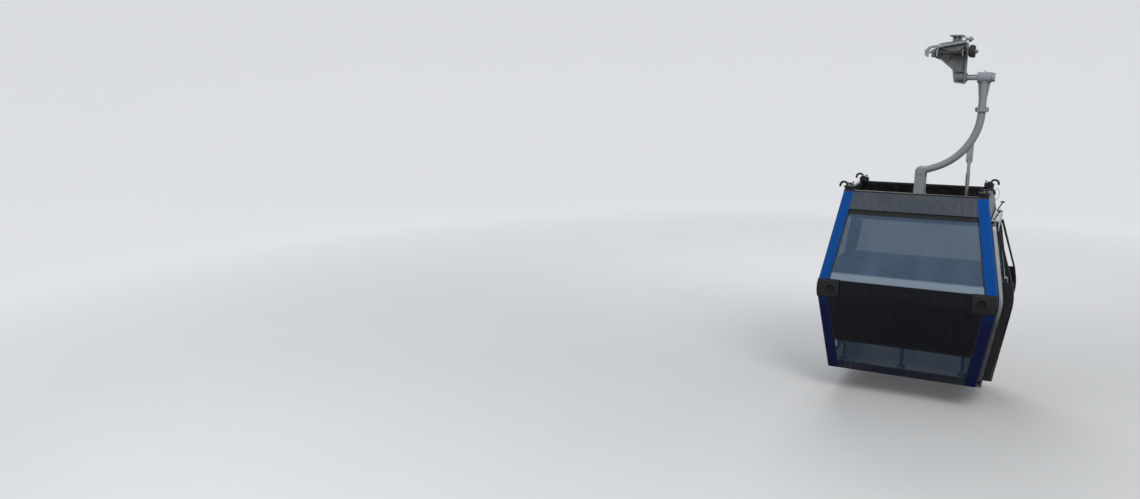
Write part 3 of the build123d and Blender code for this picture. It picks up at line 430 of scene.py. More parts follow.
class Build:
    """Collects the faces of one joined piece."""

    def __init__(self):
        self.points = []
        self.faces = []

    def take(self, points, faces):
        first = len(self.points)
        self.points.extend(Vector(point) for point in points)
        self.faces.extend(tuple(first + i for i in face) for face in faces)

    def rings(self, rings, caps=True):
        """Skins a row of closed rings that have the same number of points."""
        count = len(rings[0])
        faces = []
        for step in range(len(rings) - 1):
            for i in range(count):
                a, b = step * count + i, step * count + (i + 1) % count
                faces.append((a, b, b + count, a + count))
        if caps:
            faces.append(tuple(reversed(range(count))))
            faces.append(tuple((len(rings) - 1) * count + i for i in range(count)))
        self.take([point for ring in rings for point in ring], faces)

    def slab(self, face, low, high, lateral_a, lateral_b, outer, inner):
        """A bent slab on a wall; face is (axis, sign), laterals run with height, outer and inner are set in."""
        axis, sign = face
        face_wall = length_wall if axis == "x" else width_wall
        rings = []
        for z in face_wall.levels(low, high):
            ring = []
            for lateral, inset in ((lateral_a, outer), (lateral_b, outer), (lateral_b, inner), (lateral_a, inner)):
                depth = sign * (face_wall.at(z) - inset)
                ring.append((depth, lateral(z), z) if axis == "x" else (lateral(z), depth, z))
            rings.append(ring)
        self.rings(rings)

    def box(self, middle, size, turn=None):
        """A box with a small chamfer, turned by a matrix if one is given."""
        half = [s / 2 for s in size]
        cut = min(size) * 0.12
        rings = []
        for z, inset in ((-half[2], cut), (-half[2] + cut, 0.0), (half[2] - cut, 0.0), (half[2], cut)):
            x, y = half[0] - inset, half[1] - inset
            ring = [Vector((-x, -y, z)), Vector((x, -y, z)), Vector((x, y, z)), Vector((-x, y, z))]
            rings.append([(turn @ p if turn else p) + Vector(middle) for p in ring])
        self.rings(rings)

    def lathe(self, place, direction, profile, steps=24, closed_ends=True):
        """Turns rows of (distance along, radius) about a line."""
        along = Vector(direction).normalized()
        side = along.orthogonal().normalized()
        other = along.cross(side)
        rings = []
        for distance, radius in profile:
            middle = Vector(place) + along * distance
            rings.append([middle + side * c + other * s for c, s in around(steps, radius)])
        self.rings(rings, caps=closed_ends)

    def bolt(self, place, direction, size=0.008):
        """A washer and a chamfered hexagon head; size is half the width over the corners."""
        washer = ((-0.001, 1.5 * size), (0.3 * size, 1.5 * size), (0.34 * size, 1.4 * size))
        head = ((0.3 * size, size), (1.15 * size, size), (1.3 * size, 0.82 * size))
        self.lathe(place, direction, washer, 16)
        self.lathe(place, direction, head, 6)

    def wall_bolts(self, axis, sign, z, count, pitch, size=0.005):
        """A row of small bolts along one of the cab's walls."""
        for across in row(count, pitch):
            if axis == "x":
                self.bolt((sign * length_wall.at(z), across, z), (sign, 0, 0), size)
            else:
                self.bolt((across, sign * width_wall.at(z), z), (0, sign, 0), size)

    def tube(self, path, radius, steps=12):
        """A round tube along points, with mitred corners."""
        path = [Vector(point) for point in path]
        rings = []
        side = (path[1] - path[0]).orthogonal().normalized()
        for i, point in enumerate(path):
            ahead = (path[min(i + 1, len(path) - 1)] - path[max(i - 1, 0)]).normalized()
            side = (side - ahead * side.dot(ahead)).normalized()
            other = ahead.cross(side)
            rings.append([point + side * c + other * s for c, s in around(steps, radius)])
        self.rings(rings)

    def piece(self, name, look):
        mesh = bpy.data.meshes.new(name)
        mesh.from_pydata([tuple(point) for point in self.points], [], self.faces)
        mesh.materials.append(look)
        piece = bpy.data.objects.new(name, mesh)
        scene.collection.objects.link(piece)
        return piece

    def done(self, name, slot, look=None, body="carrier", degrees=32.0, round_edges=0.0):
        """Makes the piece on its body, with its slot's own look unless another is given."""
        piece = self.piece(name, look or looks[slot])
        mesh = piece.data
        mesh.validate()
        work = bmesh.new()
        work.from_mesh(mesh)
        bmesh.ops.recalc_face_normals(work, faces=work.faces)
        work.to_mesh(mesh)
        work.free()
        smooth(mesh, degrees)
        if round_edges:
            round_off(piece, round_edges)
        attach(piece, body)


# Glazing rubbers round the fixed panes
rubber_width, rubber_lip = 0.013, 0.0005
quarter_in = doorway_half + jamb_width
gaskets = Build()


def glaze(face, low, high, start, stop):
    gaskets.slab(face, low, high, start, stop, rubber_lip, pane_inset)


for sign in ends:
    end, far, door = ("x", sign), ("y", 1), ("y", -1)
    bars = (pane_low, head_z - rubber_width)
    post = corner_x(sign, post_side), corner_x(sign, post_side + rubber_width)
    for side in ends:
        glaze(end, pane_low, head_z, corner_y(side, post_end), corner_y(side, post_end + rubber_width))
    for z in bars:
        glaze(end, z, z + rubber_width, corner_y(-1, post_end), corner_y(1, post_end))
    glaze(far, pane_low, head_z, *post)
    glaze(far, pane_low, head_z, fixed(sign * mullion_half), fixed(sign * (mullion_half + rubber_width)))
    for z in bars:
        glaze(far, z, z + rubber_width, fixed(sign * mullion_half), post[0])
    glaze(door, pane_low, header_low, *post)
    glaze(door, pane_low, header_low, fixed(sign * quarter_in), fixed(sign * (quarter_in + rubber_width)))
gaskets.done("pane_rubbers", "black_plastic")


def leaf_loop(side, inset, corner, steps=6):
    """A leaf's outline as seen from the door side, as points that follow its bent outer edge."""
    top, foot = leaf_top - inset, leaf_foot + inset
    inner = leaf_seam + inset

    def outer(z):
        return leaf_wall.at(z) - inset

    loop = []
    for x, z, in_x, in_z, first in ((inner, foot, 1, 1, 180.0), (None, foot, -1, 1, 270.0),
                                    (None, top, -1, -1, 0.0), (inner, top, 1, -1, 90.0)):
        if in_x < 0 and in_z < 0:
            loop.extend((outer(level), level) for level in leaf_wall.levels(foot + corner, top - corner)[1:-1])
        edge = outer(z + in_z * corner) if x is None else x
        centre = (edge + in_x * corner, z + in_z * corner)
        for i in range(steps + 1):
            angle = math.radians(first + 90.0 * i / steps)
            loop.append((centre[0] + corner * math.cos(angle), centre[1] + corner * math.sin(angle)))
        if in_x > 0 and in_z < 0:
            loop.extend((inner, level) for level in reversed(width_wall.levels(foot + corner, top - corner)[1:-1]))
    return [(side * x, z) for x, z in loop]


def leaf_ring(build, side, wide, narrow, outer, inner):
    """A flat ring on a leaf between two outlines (inset, corner), between two distances off the cab's wall."""
    wide_loop, narrow_loop = leaf_loop(side, *wide), leaf_loop(side, *narrow)
    rings = []
    for loop, off in ((wide_loop, outer), (narrow_loop, outer), (narrow_loop, inner), (wide_loop, inner)):
        rings.append([(x, door_y(z, off), z) for x, z in loop])
    rings.append(rings[0])
    build.rings(rings, caps=False)


# Leaves: window rubbers and a seal against the cab, the seam's finger guard, a slim pull and screws
leaf_face = leaf_gap + leaf_thick
rubber_wide = 0.012
leaf_rubbers = (  # inset, corner radius, outer and inner distance off the cab's wall
    (leaf_stile, 0.042, leaf_face + 0.0015, leaf_face - 0.015),
    (0.006, 0.049, leaf_gap, leaf_gap - 0.005),
)
seam_clear, seam_in, seam_out, seam_proud, seam_sunk = 0.056, 0.0012, 0.02, 0.002, 0.012
pull_x, pull_z, pull_radius = 0.028, -3.05, 0.007
pull_path = ((0.004, -3.14), (-0.028, -3.135), (-0.03, -3.12), (-0.025, -2.99), (-0.022, -2.98), (0.016, -2.975))
stile_screws = [(leaf_wall.at(z) - leaf_stile / 2, z) for z in (-2.45, -2.75, -3.45, -3.85, -4.2)]
foot_screws = [(x, leaf_foot + leaf_stile / 2) for x in (0.12, 0.32, 0.52)]

# Ski racks: rubber sleeves on the rungs, a silver strip on the wide member's edge as a painted highlight, and bolts
rack_face, rack_foot = 0.17, -4.305
member_waist, member_foot = 0.585, 0.54
rungs, rung_half, rung_pitch, rung_x = 9, 0.008, 0.116, 0.275
sleeve, sleeve_ring, sleeve_sunk = (0.3, 0.0285, 0.0195), (0.008, 0.0315, 0.0225), 0.012
rack_highlight_foot, rack_highlight_top, rack_highlight_wide, rack_highlight_proud, rack_highlight_sunk = -4.29, -3.34, 0.011, 0.0015, 0.03
rack_bolts = [(0.505, z) for z in (-4.28, -4.0, -3.7, -3.4)] + [(0.5225, -2.96), (0.05, -4.29), (0.05, -3.38)]


def member_x(side, inset):
    """Across the cab, a distance in from the outer edge of the rack's wide member, which tapers to its foot."""
    slope = (member_foot - member_waist) / (rack_foot - waist_z)
    return lambda z: side * (member_waist + slope * (z - waist_z) - inset)


def face_bolts(side, spots, off, size):
    """Bolts at (across, height) on a flat face that hangs a distance off the door-side wall."""
    made = Build()
    for x, z in spots:
        made.bolt((side * x, door_y(z, off), z), outward, size)
    return made


for side, name in ((1, "right"), (-1, "left")):
    body = name + "_leaf"
    rubbers = Build()
    for inset, corner, outer, inner in leaf_rubbers:
        leaf_ring(rubbers, side, (inset, corner), (inset + rubber_wide, corner - rubber_wide), outer, inner)
    rubbers.slab(("y", -1), leaf_foot + seam_clear, leaf_top - seam_clear, fixed(side * seam_in),
                 fixed(side * seam_out), -leaf_face - seam_proud, -leaf_face + seam_sunk)
    rubbers.done(name + "_leaf_rubbers", "black_plastic", body=body)

    pull = Build()
    face_y = door_y(pull_z, leaf_face)
    pull.tube([(side * pull_x, face_y + off, z) for off, z in pull_path], pull_radius, 10)
    pull.done(name + "_leaf_pull", "leaf_silver", zinc, body)
    heads = face_bolts(side, stile_screws + foot_screws, leaf_face, 0.0055)
    heads.done(name + "_leaf_screws", "leaf_silver", zinc, body)

    sleeves = Build()
    for i in range(rungs):
        z = rack_foot + rung_half + i * rung_pitch
        y = door_y(z, rack_face - sleeve_sunk)
        sleeves.box((side * rung_x, y, z), sleeve)
        for off in row(5, 0.06):
            sleeves.box((side * (rung_x + off), y, z), sleeve_ring)
    sleeves.done(name + "_rack_sleeves", "rack_black", looks["bumper_rubber"], body)
    # painted highlight: a thin silver strip along the black member's outer edge
    rack_highlight = Build()
    rack_highlight.slab(("y", -1), rack_highlight_foot, rack_highlight_top, member_x(side, rack_highlight_wide), member_x(side, 0.0),
             -rack_face - rack_highlight_proud, -rack_face + rack_highlight_sunk)
    rack_highlight.done(name + "_rack_edge_highlight", "rack_black", looks["leaf_silver"], body)
    fasten = face_bolts(side, rack_bolts, rack_face, 0.006)
    fasten.done(name + "_rack_bolts", "rack_black", zinc, body)

# Roof: a rubber edge trim round the rim, drip lips under the fascia and screws along it
trim_low, trim_lap, trim_high, trim_proud = 0.012, 0.005, 0.006, 0.0015
trim_cut, trim_in = 0.046, wall + 0.004
drip_low, drip_high, drip_proud, drip_sunk = fascia_z + 0.002, fascia_z + 0.012, 0.005, 0.004
screw_levels = (fascia_z + 0.03, rim_z - 0.03)
trim, lips, screws = Build(), Build(), Build()
for sign in ends:
    for axis, across, post, cut in (("x", corner_y, post_end, 0.0), ("y", corner_x, post_side, trim_cut)):
        face = (axis, sign)
        trim.slab(face, rim_z - trim_low, rim_z + trim_lap, across(-1, 0.0), across(1, 0.0), -trim_proud, 0.0)
        trim.slab(face, rim_z, rim_z + trim_high, across(-1, cut), across(1, cut), 0.0, trim_in)
        lips.slab(face, drip_low, drip_high, across(-1, post), across(1, post), -drip_proud, drip_sunk)
    for z in screw_levels:
        for axis, count, pitch in (("x", 7, 0.22), ("y", 5, 0.21)):
            screws.wall_bolts(axis, sign, z, count, pitch)
trim.done("rim_trim", "black_plastic")
lips.done("fascia_lips", "grey_paint", round_edges=0.0015)
screws.done("fascia_screws", "grey_paint")

# Roof well: pressed ribs, lidded drive boxes for the doors with a bolt at each end, a conduit and drains
rib_high = 0.012
rib_z = tray_floor_z + rib_high / 2
drive_boxes = (  # x, y, length, width, height, reach of the lid's bolts
    (-0.17, -0.755, 0.5, 0.13, 0.15, 0.21),
    (0.3, -0.755, 0.26, 0.13, 0.12, 0.1),
    (0.0, 0.765, 0.36, 0.1, 0.1, 0.14),
)
lid_lap, lid_thick, lid_rise = (0.016, 0.014), 0.014, 0.006
conduit = ((-0.45, -0.72, 0.02), (-0.45, 0.3, 0.02), (-0.43, 0.42, 0.02), (-0.3, 0.5, 0.02), (-0.1, 0.7, 0.03))
drain_x, drain_y, drain = 0.54, 0.62, ((0, 0.034), (0.008, 0.034), (0.01, 0.026), (0.004, 0.022))
well, well_metal = Build(), Build()
for x in (-0.5, -0.39, 0.39, 0.5):
    well.box((x, 0.0, rib_z), (0.03, 1.56, rib_high))
for y in (0.45, 0.6, 0.72, -0.42, -0.5):
    well.box((0.0, y, rib_z), (0.6, 0.028, rib_high))
for x, y, long, wide, high, reach in drive_boxes:
    well.box((x, y, tray_floor_z + high / 2), (long, wide, high))
    well.box((x, y, tray_floor_z + high + lid_rise), (long + lid_lap[0], wide + lid_lap[1], lid_thick))
well.tube([(x, y, tray_floor_z + high) for x, y, high in conduit], 0.012)
well.done("roof_well_fittings", "tray_black", round_edges=0.002)
for sx, sy in corners:
    well_metal.lathe((sx * drain_x, sy * drain_y, tray_floor_z), up, drain, 20)
for x, y, long, wide, high, reach in drive_boxes:
    for end in ends:
        well_metal.bolt((x + end * reach, y, tray_floor_z + high + lid_rise + lid_thick / 2), up, 0.006)
well_metal.done("roof_well_fixings", "tray_black", zinc)

# Roof guides: guard hoops round the rollers, hooked fingers, a groove ring and bolts, and a horn over each corner
guide_x, guide_y, groove_z, guide_top = 0.598, 0.856, rim_z + 0.04, rim_z + 0.064
pad_bolt, pad_top = 0.032, rim_z + 0.02
guard_in, guard_out, guard_low, guard_high, guard_arch = 0.064, 0.072, rim_z + 0.014, rim_z + 0.058, 0.012
guard_steps, guard_turn = 14, 95.0
finger_path = ((0.0, 0.02), (0.0, 0.085), (0.014, 0.104), (0.04, 0.108), (0.058, 0.094))
groove = ((0.0, 0.0595), (0.003, 0.0605), (0.013, 0.0605), (0.016, 0.0595))
horn_turn, horn_off, horn_reach, horn_lift, horn_radius = 0.05, 0.006, 0.062, 0.052, 0.0155
horn_steps, horn_first, horn_sweep = 12, 150.0, 170.0
roller = ((0, 0.033), (0.016, 0.033), (0.018, 0.028), (0.022, 0.028), (0.024, 0.033), (0.036, 0.033),
          (0.041, 0.026), (0.043, 0.01))
guards, guide_bolts, horns = Build(), Build(), Build()
for sx, sy in corners:
    centre = Vector((sx * guide_x, sy * guide_y, 0.0))
    inward = math.atan2(-sy, -sx)
    rings = []
    for i in range(guard_steps + 1):
        angle = inward + math.radians(guard_turn * (2 * i / guard_steps - 1))
        out = Vector((math.cos(angle), math.sin(angle), 0.0))
        high = guard_high + guard_arch * math.sin(math.pi * i / guard_steps)
        rings.append([centre + out * radius + Vector((0, 0, z)) for radius, z in (
            (guard_in, guard_low), (guard_out, guard_low), (guard_out, high), (guard_in, high))])
    guards.rings(rings)
    arm = centre + Vector((math.cos(inward), math.sin(inward), 0.0)) * (guard_in + guard_out) / 2
    guards.tube([arm + Vector((-sx * off, 0, rim_z + lift)) for off, lift in finger_path], 0.008, 10)
    guards.lathe(centre + Vector((0, 0, groove_z)), up, groove, 32)
    guide_bolts.bolt(centre + Vector((0, 0, guide_top)), up, 0.014)
    for bx, by in corners:
        guide_bolts.bolt(centre + Vector((bx * pad_bolt, by * pad_bolt, pad_top)), up, 0.005)

    base = centre + Vector((0, 0, rim_z + 0.01))
    path = [base + Vector((sx * horn_off, sy * 0.016, 0.0))]
    for i in range(horn_steps + 1):
        angle = math.radians(horn_first - horn_sweep * i / horn_steps)
        path.append(base + Vector((sx * horn_off, sy * (horn_reach + horn_turn * math.cos(angle)),
                                   horn_lift + horn_turn * math.sin(angle))))
    horns.tube(path, horn_radius)
    horns.box(base + Vector((0, 0, 0.014)), (0.096, 0.1, 0.008))
    horns.box(base + Vector((-sx * 0.075, 0, 0.022)), (0.078, 0.086, 0.046))
    horns.lathe(base + Vector((-sx * 0.08, 0, 0.044)), up, roller)
guards.done("guide_guards", "black_plastic")
guide_bolts.done("guide_bolts", "black_plastic", zinc)

# A thin wire loop off the door-side corner, on a stem from the fascia
hoop_x, hoop_y, hoop_z = -0.5, -0.99, rim_z + 0.045
hoop_wide, hoop_high, stem_z = 0.03, 0.068, rim_z - 0.07
stem_y = -width_wall.at(stem_z)
loop = around(24, 1.0)
hoop = Build()
hoop.tube([(hoop_x, hoop_y + hoop_wide * s, hoop_z - hoop_high * c) for c, s in loop + loop[:1]], 0.0032, 8)
hoop.tube([(hoop_x, hoop_y, hoop_z - hoop_high), (hoop_x, hoop_y + 0.008, rim_z - 0.045),
           (hoop_x, hoop_y + 0.03, stem_z + 0.004), (hoop_x, stem_y + 0.006, stem_z)], 0.0036, 8)
hoop.lathe((hoop_x, stem_y + 0.002, stem_z), outward,
           ((0, 0.016), (0.004, 0.016), (0.006, 0.008), (0.014, 0.007)), 20)
hoop.done("corner_loop", "rod_steel")
horns.done("guide_horns", "black_plastic")

# Column and crosshead: foot plates with gussets and bolts, the foot pin's caps, and the mounts' bolts and rings
cross_top, column_x = tray_floor_z + 0.13, 0.1125
plate_thick, gusset_y, gusset_wide, gusset_high, gusset_half = 0.016, 0.064, 0.093, 0.1, 0.006
cap_x, cap_circle, cap_hub = 0.145, 0.027, ((-0.0005, 0.012), (0.0035, 0.012), (0.0045, 0.009))
mount_x, mount_y = 0.27, 0.24
mount = ((0.0, 0.056), (0.008, 0.056), (0.0085, 0.05), (0.016, 0.0505), (0.024, 0.054), (0.032, 0.0505),
         (0.04, 0.0505), (0.048, 0.054), (0.056, 0.0505), (0.0615, 0.05), (0.062, 0.056), (0.0695, 0.056))
column, column_bolts, mount_rings = Build(), Build(), Build()
for end in ends:
    x, plate_z = end * column_x, cross_top + plate_thick
    column.box((x, 0.0, cross_top + plate_thick / 2), (0.085, 0.19, plate_thick))
    for side in ends:
        column_bolts.bolt((x, side * 0.08, plate_z), up, 0.01)
        column.rings([[(x + off, side * gusset_y, plate_z), (x + off, side * gusset_wide, plate_z),
                       (x + off, side * gusset_y, cross_top + gusset_high)] for off in (-gusset_half, gusset_half)])
    for y, z in around(4, cap_circle, 45.0):
        column_bolts.bolt((end * cap_x, y, foot_z + z), (end, 0, 0), 0.006)
    column_bolts.lathe((end * cap_x, 0, foot_z), (end, 0, 0), cap_hub, 20)
for sx, sy in corners:
    for bx, by in corners:
        column_bolts.bolt((sx * mount_x + bx * 0.04, sy * mount_y + by * 0.035, cross_top), up, 0.008)
    mount_rings.lathe((sx * mount_x, sy * mount_y, tray_floor_z), up, mount, 28)
column.done("column_feet", "hanger_grey", round_edges=0.002)
column_bolts.done("column_bolts", "hanger_grey", zinc)
mount_rings.done("mount_rings", "bumper_rubber")

# Arm: flange bolts, weld beads, the bolts of the head's end covers, and a grease nipple
flange_high, flange_low, flange_circle = flange_z + 0.064, flange_z + 0.02, 0.069
cover_y, cover_circle, head_under, head_top = 0.085, 0.058, -0.372, pivot_z + 0.071
arm_bead, foot_bead, foot_bead_x = 0.0535, 0.068, 0.052
nipple = ((0, 0.009), (0.008, 0.009), (0.01, 0.005), (0.018, 0.005), (0.021, 0.007), (0.025, 0.0045))
arm_bolts, welds = Build(), Build()
for x, y in around(12, flange_circle):
    arm_bolts.bolt((x, y - arm_offset, flange_high), up, 0.009)
    arm_bolts.bolt((x, y - arm_offset, flange_low), down, 0.009)
for side in ends:
    for x, z in around(8, cover_circle, 22.5):
        arm_bolts.bolt((x, side * cover_y - arm_offset, pivot_z + z), (0, side, 0), 0.0055)
arm_bolts.lathe((0, -arm_offset, head_top), up, nipple, 12)
arm_bolts.done("arm_bolts", "hanger_grey", zinc)
for z in (flange_low - 0.0005, flange_high + 0.0005, head_under):
    bead = around(36, arm_bead)
    welds.tube([(x, y - arm_offset, z) for x, y in bead + bead[:1]], 0.0055, 8)
for end in ends:
    bead = around(36, foot_bead)
    welds.tube([(end * foot_bead_x, y, foot_z + z) for y, z in bead + bead[:1]], 0.003, 8)
welds.done("arm_welds", "hanger_grey")

# Steady rod: bellows over its foot, a turnbuckle with lock nuts, a clamp collar and the bracket's bolts
rod_y, bracket_bolts = -0.6, ((-0.62, -1.36), (-0.58, -1.36), (-0.6, -1.31))
folds, fold_start, fold_pitch, fold_out, fold_in = 6, 0.034, 0.018, 0.041, 0.03
bellows_profile = [(0.0, 0.05), (0.008, 0.05), (0.026, 0.047)]
for i in range(folds):
    start = fold_start + i * fold_pitch
    bellows_profile += [(start, fold_out), (start + fold_pitch / 2, fold_in)]
bellows_profile.append((0.15, 0.0235))
bellows = Build()
bellows.lathe((0, rod_y, tray_floor_z), up, bellows_profile, 28)
bellows.done("rod_bellows", "bumper_rubber")
buckle = ((0.0, 0.024), (0.004, 0.03), (0.02, 0.03), (0.024, 0.027), (0.1, 0.027), (0.104, 0.03), (0.12, 0.03),
          (0.124, 0.024))
lock_nut = ((0.0, 0.023), (0.003, 0.028), (0.016, 0.028), (0.019, 0.023))
collar = ((0.0, 0.022), (0.004, 0.029), (0.05, 0.029), (0.054, 0.022))
turnbuckle = Build()
for z, profile, steps in ((-1.72, buckle, 6), (-1.745, lock_nut, 6), (-1.59, lock_nut, 6), (-1.448, collar, 24)):
    turnbuckle.lathe((0, rod_y, z), up, profile, steps)
for side in ends:
    for y, z in bracket_bolts:
        turnbuckle.bolt((side * 0.008, y, z), (side, 0, 0), 0.008)
turnbuckle.done("rod_turnbuckle", "rod_steel", zinc)

# Door head: cover screws, the levers' bolts and caps, a brush under the cover, and end plates
beam_back, beam_deep, beam_cover = 0.9835, 0.05, 0.018
front_y = -(beam_back + beam_deep + beam_cover)
lever_x, lever_y, cap_y = 0.5, -0.999, -1.0426
end_plate = ((-0.963, head_z - 0.002), (front_y + 0.001, head_z - 0.002), (front_y + 0.001, beam_low + 0.002),
             (front_y + 0.012, beam_low + 0.002), (-0.978, head_z - 0.02))
head, brush = Build(), Build()
for x in row(9, 0.14):
    head.bolt((x, front_y, head_z - 0.022), outward, 0.005)
brush.box((0.0, front_y + 0.003, beam_low - 0.004), (1.2, 0.004, 0.014))
for end in ends:
    for y in (-0.99, -1.02):
        head.bolt((end * 0.55, y, head_z), up, 0.006)
    for y, high in ((lever_y, 0.03), (-1.03, 0.09)):
        head.bolt((end * (lever_x + 0.011), y, head_z + high), (end, 0, 0), 0.005)
    head.bolt((end * lever_x, cap_y, head_z + 0.126), up)
    brush.box((end * lever_x, cap_y, head_z + 0.119), (0.058, 0.058, 0.008))
    brush.rings([[(end * x, y, z) for y, z in end_plate] for x in (0.611, 0.6085)])
head.done("door_head_bolts", "black_plastic", zinc)
brush.done("door_head_brush", "black_plastic")

# Bumpers: moulded skins with a ringed hollow, ribs and sunk bolts, in place of the plain blocks
bumper_face, bumper_proud, bumper_half, bumper_run, bumper_edge = 0.0385, 0.042, 0.125, 0.3, 0.014
ring_y, ring_in, ring_out, ring_slope, hollow_floor = 0.952, 0.055, 0.073, 0.008, 0.002
rib_levels, rib_half, rib_stop, middle_rib = (-0.088, 0.088), 0.007, 1.12, 0.115
screw_spots, screw_hollow, screw_floor = ((1.085, -0.045), (1.085, 0.045)), 0.0135, 0.031
screw_head = ((0.0, 0.011), (0.0035, 0.011), (0.0045, 0.009), (0.0045, 0.005), (0.002, 0.0045))
rows, columns, skin_sunk = 62, 74, 0.004


def bumper_height(across, rise, edge):
    """How far the skin stands off the wall, at a place across the cab and over the waist."""
    height = bumper_face
    hollow = math.hypot(across - ring_y, rise)
    if hollow < ring_in - ring_slope:
        height = hollow_floor
    elif hollow < ring_in:
        height = hollow_floor + 0.04 * (hollow - ring_in + ring_slope) / ring_slope
    elif hollow < ring_out:
        height = bumper_proud
    if across < rib_stop and any(abs(rise - level) < rib_half for level in rib_levels):
        height = bumper_proud
    if abs(rise) < rib_half and ring_out < across - ring_y < middle_rib:
        height = bumper_proud
    if any(math.hypot(across - y, rise - z) < screw_hollow for y, z in screw_spots):
        height = screw_floor
    if edge < bumper_edge:
        height += min(0.0, math.sqrt(bumper_edge ** 2 - (bumper_edge - edge) ** 2) - bumper_edge)
    return max(height, 0.0)


def bumper_skin(end, side):
    """A field of heights over the wall, with its rim carried back into the wall."""
    wide = columns + 1
    inmost = width_wall.at(waist_z) - bumper_run
    points, faces = [], []
    for line in range(rows + 1):
        rise = bumper_half * (2 * line / rows - 1)
        z = waist_z + rise
        outmost = width_wall.at(z)
        for column in range(wide):
            across = inmost + (outmost - inmost) * column / columns
            edge = min(across - inmost, bumper_half - abs(rise), (outmost - across) * 1.4 + 0.001)
            points.append((end * (length_wall.at(z) + bumper_height(across, rise, edge)), side * across, z))
    for line in range(rows):
        for first in range(line * wide, line * wide + columns):
            faces.append((first, first + 1, first + wide + 1, first + wide))
    rim = list(range(wide)) + [line * wide + columns for line in range(1, rows + 1)]
    rim += [rows * wide + column for column in range(columns - 1, -1, -1)]
    rim += [line * wide for line in range(rows - 1, 0, -1)]
    count = len(points)
    for i, spot in enumerate(rim):
        x, y, z = points[spot]
        points.append((end * (length_wall.at(z) - skin_sunk), y, z))
        after = (i + 1) % len(rim)
        faces.append((spot, rim[after], count + after, count + i))
    return points, faces


skins, sunk = Build(), Build()
for end, side in corners:
    skins.take(*bumper_skin(end, side))
    for y, rise in screw_spots:
        z = waist_z + rise
        sunk.lathe((end * (length_wall.at(z) + 0.03), side * y, z), (end, 0, 0), screw_head, 18)
skins.done("bumper_skins", "bumper_rubber", degrees=50.0)
sunk.done("bumper_bolts", "bumper_rubber", dark_bolt)
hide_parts("waist_bumpers")

# Benches: ribbed inlays in the seats and backs, foot plates and their bolts
seat_pitch, seat_top = 0.38807, floor_top + 0.45
back_low, back_high = seat_top + 0.05, waist_z - 0.075
back_rib = ((-0.002, -0.013), (0.004, -0.01), (0.004, 0.01), (-0.002, 0.013))
inlay_x, inlay = 0.556, (0.27, 0.026, 0.007)
foot_x, foot_bolt, foot_plate = 0.6, 0.045, (0.12, 0.1, 0.01)
inlays, bench_bolts = Build(), Build()
for end in ends:
    for middle in row(5, seat_pitch):
        for off in row(7, 0.042):
            y = middle + off
            inlays.box((end * inlay_x, y, seat_top + 0.0015), inlay)
            inlays.rings([[(end * (length_wall.at(z) - 0.12 - proud), y + across, z) for proud, across in back_rib]
                          for z in (back_low, (back_low + back_high) / 2, back_high)])
    for y in row(3, 2 * seat_pitch):
        inlays.box((end * foot_x, y, floor_top + foot_plate[2] / 2), foot_plate)
        for side in ends:
            bench_bolts.bolt((end * foot_x + side * foot_bolt, y, floor_top + foot_plate[2]), up)
inlays.done("seat_inlays", "seat_shell", round_edges=0.001)
bench_bolts.done("bench_bolts", "dark_frame", zinc)

# Inside: hand rails, light strips and a round lamp under the ceiling
rail_x, rail_y = 0.36, 0.78
rail_path = ((-rail_y, 0.006), (-rail_y, 0.055), (-0.765, 0.07), (0.765, 0.07), (rail_y, 0.055), (rail_y, 0.006))
rail_foot = ((0, 0.03), (0.008, 0.03), (0.01, 0.02))
round_lamp = ((0, 0.07), (0.006, 0.07), (0.009, 0.05), (0.006, 0.046), (0.01, 0.01))
rails, strips = Build(), Build()
for end in ends:
    rails.tube([(end * rail_x, y, ceiling_low - drop) for y, drop in rail_path], 0.014, 14)
    for side in ends:
        rails.lathe((end * rail_x, side * rail_y, ceiling_low - 0.001), down, rail_foot, 20)
    strips.box((end * 0.5, 0.0, ceiling_low - 0.006), (0.05, 1.3, 0.012))
strips.lathe((0.0, 0.0, ceiling_low), down, round_lamp, 32)
rails.done("hand_rails", "leaf_silver", looks["rod_steel"])
strips.done("ceiling_lights", "ceiling_white", lamp_cover)

# Threshold and underside: a ribbed sill plate, a floor edge strip, and bolts in the beams and along the sill
sill_half, edge_half, rib_pitch = 0.72, 0.395, 0.011
sill_bolt_z, beam_under = sill_z + 0.03, -4.338
sill, under = Build(), Build()
for k in range(5):
    sill.slab(("y", -1), sill_z + 0.012, sill_z + 0.0145, fixed(-sill_half), fixed(sill_half),
              -0.012 - k * rib_pitch, -0.018 - k * rib_pitch)
sill.slab(("y", -1), floor_top - 0.003, floor_top + 0.002, fixed(-edge_half), fixed(edge_half), -0.002, 0.04)
sill.done("sill_plates", "floor_aluminium")
for x in row(3, 0.4):
    for y in row(5, 0.4):
        for side in ends:
            under.bolt((x + side * 0.028, y, beam_under), down, 0.0045)
for end in ends:
    under.wall_bolts("x", end, sill_bolt_z, 9, 0.18)
under.wall_bolts("y", 1, sill_bolt_z, 7, 0.18)
under.done("under_bolts", "dark_frame", dark_bolt)

# Grip: coils on their rods in place of the plain packs
coil_turns, coil_steps, coil_radius, coil_start, coil_long = 11, 20, 0.0285, 0.122, 0.276
coil_rod = ((0.0, 0.036), (0.002, 0.04), (0.01, 0.04), (0.012, 0.036), (0.0125, 0.013), (0.2875, 0.013),
            (0.288, 0.036), (0.29, 0.04), (0.298, 0.04), (0.3, 0.036))
coils = Build()
for end in ends:
    middle = Vector((end * 0.12, 0.0, 0.02))
    helix = []
    for i in range(coil_turns * coil_steps + 1):
        angle = 2 * math.pi * i / coil_steps
        along = -coil_start - coil_long * i / (coil_turns * coil_steps)
        helix.append(middle + Vector((coil_radius * math.cos(angle), along, coil_radius * math.sin(angle))))
    coils.tube(helix, 0.0058, 10)
    coils.lathe(middle + Vector((0, -0.11, 0)), outward, coil_rod, 28)
coils.done("grip_coils", "spring_steel", body="grip")
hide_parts("grip_springs")

